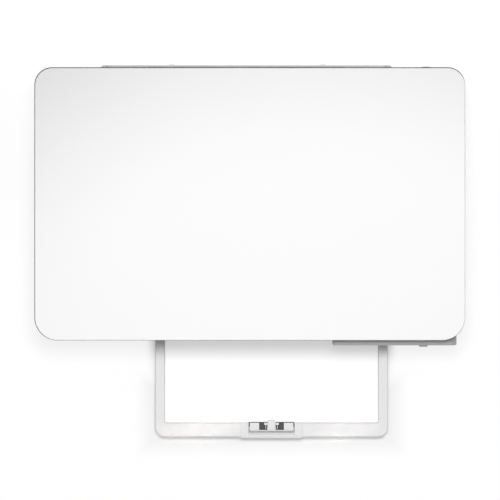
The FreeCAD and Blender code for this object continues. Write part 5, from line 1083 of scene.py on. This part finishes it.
# Height above the table and radius in mm, from the cup's floor over the tread to the wall
TREAD = np.array([(0.7, 4.6), (0.15, 5.4), (0.0, 5.8), (0.0, 6.9), (0.12, 7.5), (0.5, 7.9)]) * MM
profile = [(0.7 * MM, POLE), *TREAD, (0.9 * MM, FOOT), (FOOT_TALL, FOOT), (FOOT_TALL, FOOT_PEG),
           (high[2] - PEG_BREAK[0], FOOT_PEG), (high[2], FOOT_PEG - PEG_BREAK[1]), (high[2], POLE)]
feet = [shell(turned(profile, (x, y, 0.0), 2)) for x in (low[0] + FOOT, high[0] - FOOT)
        for y in (low[1] + FOOT, high[1] - FOOT)]
settle(piece("rubber_foot_pads", *feet), "base", "roller_rubber", "rubber_feet")

# %% [markdown]
# The feed, exit and pick rollers are rubber sleeves on ground steel shafts. The exit and pick
# rollers also carry a flanged belt pulley at the left. All are turned shapes along X, listed here
# as a shaft's ends, a sleeve's ends and radius, and a pulley's radius.

# %% The rollers
SHAFT, SHAFT_BREAK, SLEEVE_ROUND = mm(3.0, 0.4, 0.5)
PULLEY_X = mm(-108.5, -103.0)
PULLEY_FLANGE, PULLEY_LIP = mm(0.45, 0.6)
ROLLERS = {"feed_roller": ((-115.0, 136.5), (-98.4, 130.4, 6.0), None),
           "exit_roller": ((-108.5, 134.5), (-98.4, 130.4, 6.0), 5.0),
           "pick_roller": ((-108.5, 131.0), (-5.55, 30.45, 12.0), 8.0)}
sleeve_inset, sleeve_drop = soft_edge(SLEEVE_ROUND)
for name, (shaft, sleeve, pulley) in ROLLERS.items():
    low, high = np.array(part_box(name))
    axis = (0.0, *((low + high) / 2)[1:])
    start, end = np.array(shaft) * MM
    profile = [(start, POLE), (start, SHAFT - SHAFT_BREAK), (start + SHAFT_BREAK, SHAFT),
               (end - SHAFT_BREAK, SHAFT), (end, SHAFT - SHAFT_BREAK), (end, POLE)]
    settle(piece(name + "_shaft", shell(turned(profile, axis, 0))), name, "steel", name)
    start, end, radius = np.array(sleeve) * MM
    rim = np.column_stack([sleeve_inset, radius - sleeve_drop])
    profile = [(start, SHAFT), *(rim + (start, 0.0)), *(rim[::-1] * (-1, 1) + (end, 0.0)),
               (end, SHAFT)]
    rings = turned(profile, axis, 0, 64)
    settle(piece(name + "_sleeve", shell(rings, closed=True)), name, "roller_rubber")
    if pulley:
        (start, end), radius = PULLEY_X, pulley * MM
        near, far, lip = start + PULLEY_FLANGE, end - PULLEY_FLANGE, radius + PULLEY_LIP
        profile = [(start, SHAFT), (start, lip), (near, lip), (near, radius),
                   (far, radius), (far, lip), (end, lip), (end, SHAFT)]
        rings = turned(profile, axis, 0, 48)
        settle(piece(name + "_pulley", shell(rings, closed=True)), name, "gear_white")

# %% [markdown]
# Each ink cartridge has a plain label on top, in front of its latch. It is a thin pad with rounded
# corners that sits on the cartridge and rides with it.

# %% The cartridge labels
LABEL_SIDE, LABEL_Y = 2.2 * MM, mm(-26.2, -14.2)
LABEL_SUNK, LABEL_THICK = mm(0.1, 0.25)
LABEL_CORNER, LABEL_EDGE = mm(1.5, 0.1)
labels = []
for name in ("black_cartridge", "colour_cartridge"):
    low, high = np.array(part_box(name))
    labels.append(rounded_pad((low[0] + LABEL_SIDE, LABEL_Y[0], high[2] - LABEL_SUNK),
                              (high[0] - LABEL_SIDE, LABEL_Y[1], high[2] + LABEL_THICK),
                              LABEL_CORNER, LABEL_EDGE))
settle(piece("cartridge_labels", *labels), "carriage", "gear_white")

# %% [markdown]
# The case is moulded in two halves that meet at one height. A fine dark line shows the joint
# between them, from the paper mouth round each side to the rear flap. It is a small square section
# carried along the case's outline, pushed out along the outline's own normal so that it shows on
# the wall.

# %% The joint between the case halves
SEAM_Z, SEAM_HALF, SEAM_DEEP, SEAM_PROUD = mm(40.0, 0.25, 0.25, 0.005)
CASE_LOW, CASE_HIGH = np.array([-194.7, -78.4]) * MM, np.array([194.7, 168.0]) * MM
CASE_REAR, CASE_STEPS = 16.5 * MM, 16
case_line = rounded_outline(CASE_LOW, CASE_HIGH, CASE_CORNER, CASE_REAR, CASE_STEPS)
right_line, left_line = np.split(case_line, 2)
right_ends = np.array([(131.0, -78.4), (130.05, 168.0), (126.9, 170.8), (123.0, 170.8)]) * MM
left_ends = np.array([(-129.4, 170.8), (-133.3, 170.8), (-136.45, 168.0), (-97.5, -78.4)]) * MM
across = np.array([-SEAM_DEEP, SEAM_PROUD, SEAM_PROUD, -SEAM_DEEP])
tall = SEAM_Z + SEAM_HALF * np.array([-1, -1, 1, 1])
seams = []
for line in (np.concatenate([right_ends[:1], right_line, right_ends[1:]]),
             np.concatenate([left_ends[:3], left_line, left_ends[3:]])):
    along = np.gradient(line, axis=0)
    outward = np.column_stack([along[:, 1], -along[:, 0]])
    outward /= np.linalg.norm(along, axis=1)[:, None]
    flat = line[:, None, :] + outward[:, None, :] * across[:, None]
    seams.append(shell(raised(flat, tall)))
settle(piece("case_joint_line", *seams), "base", "inner_black")
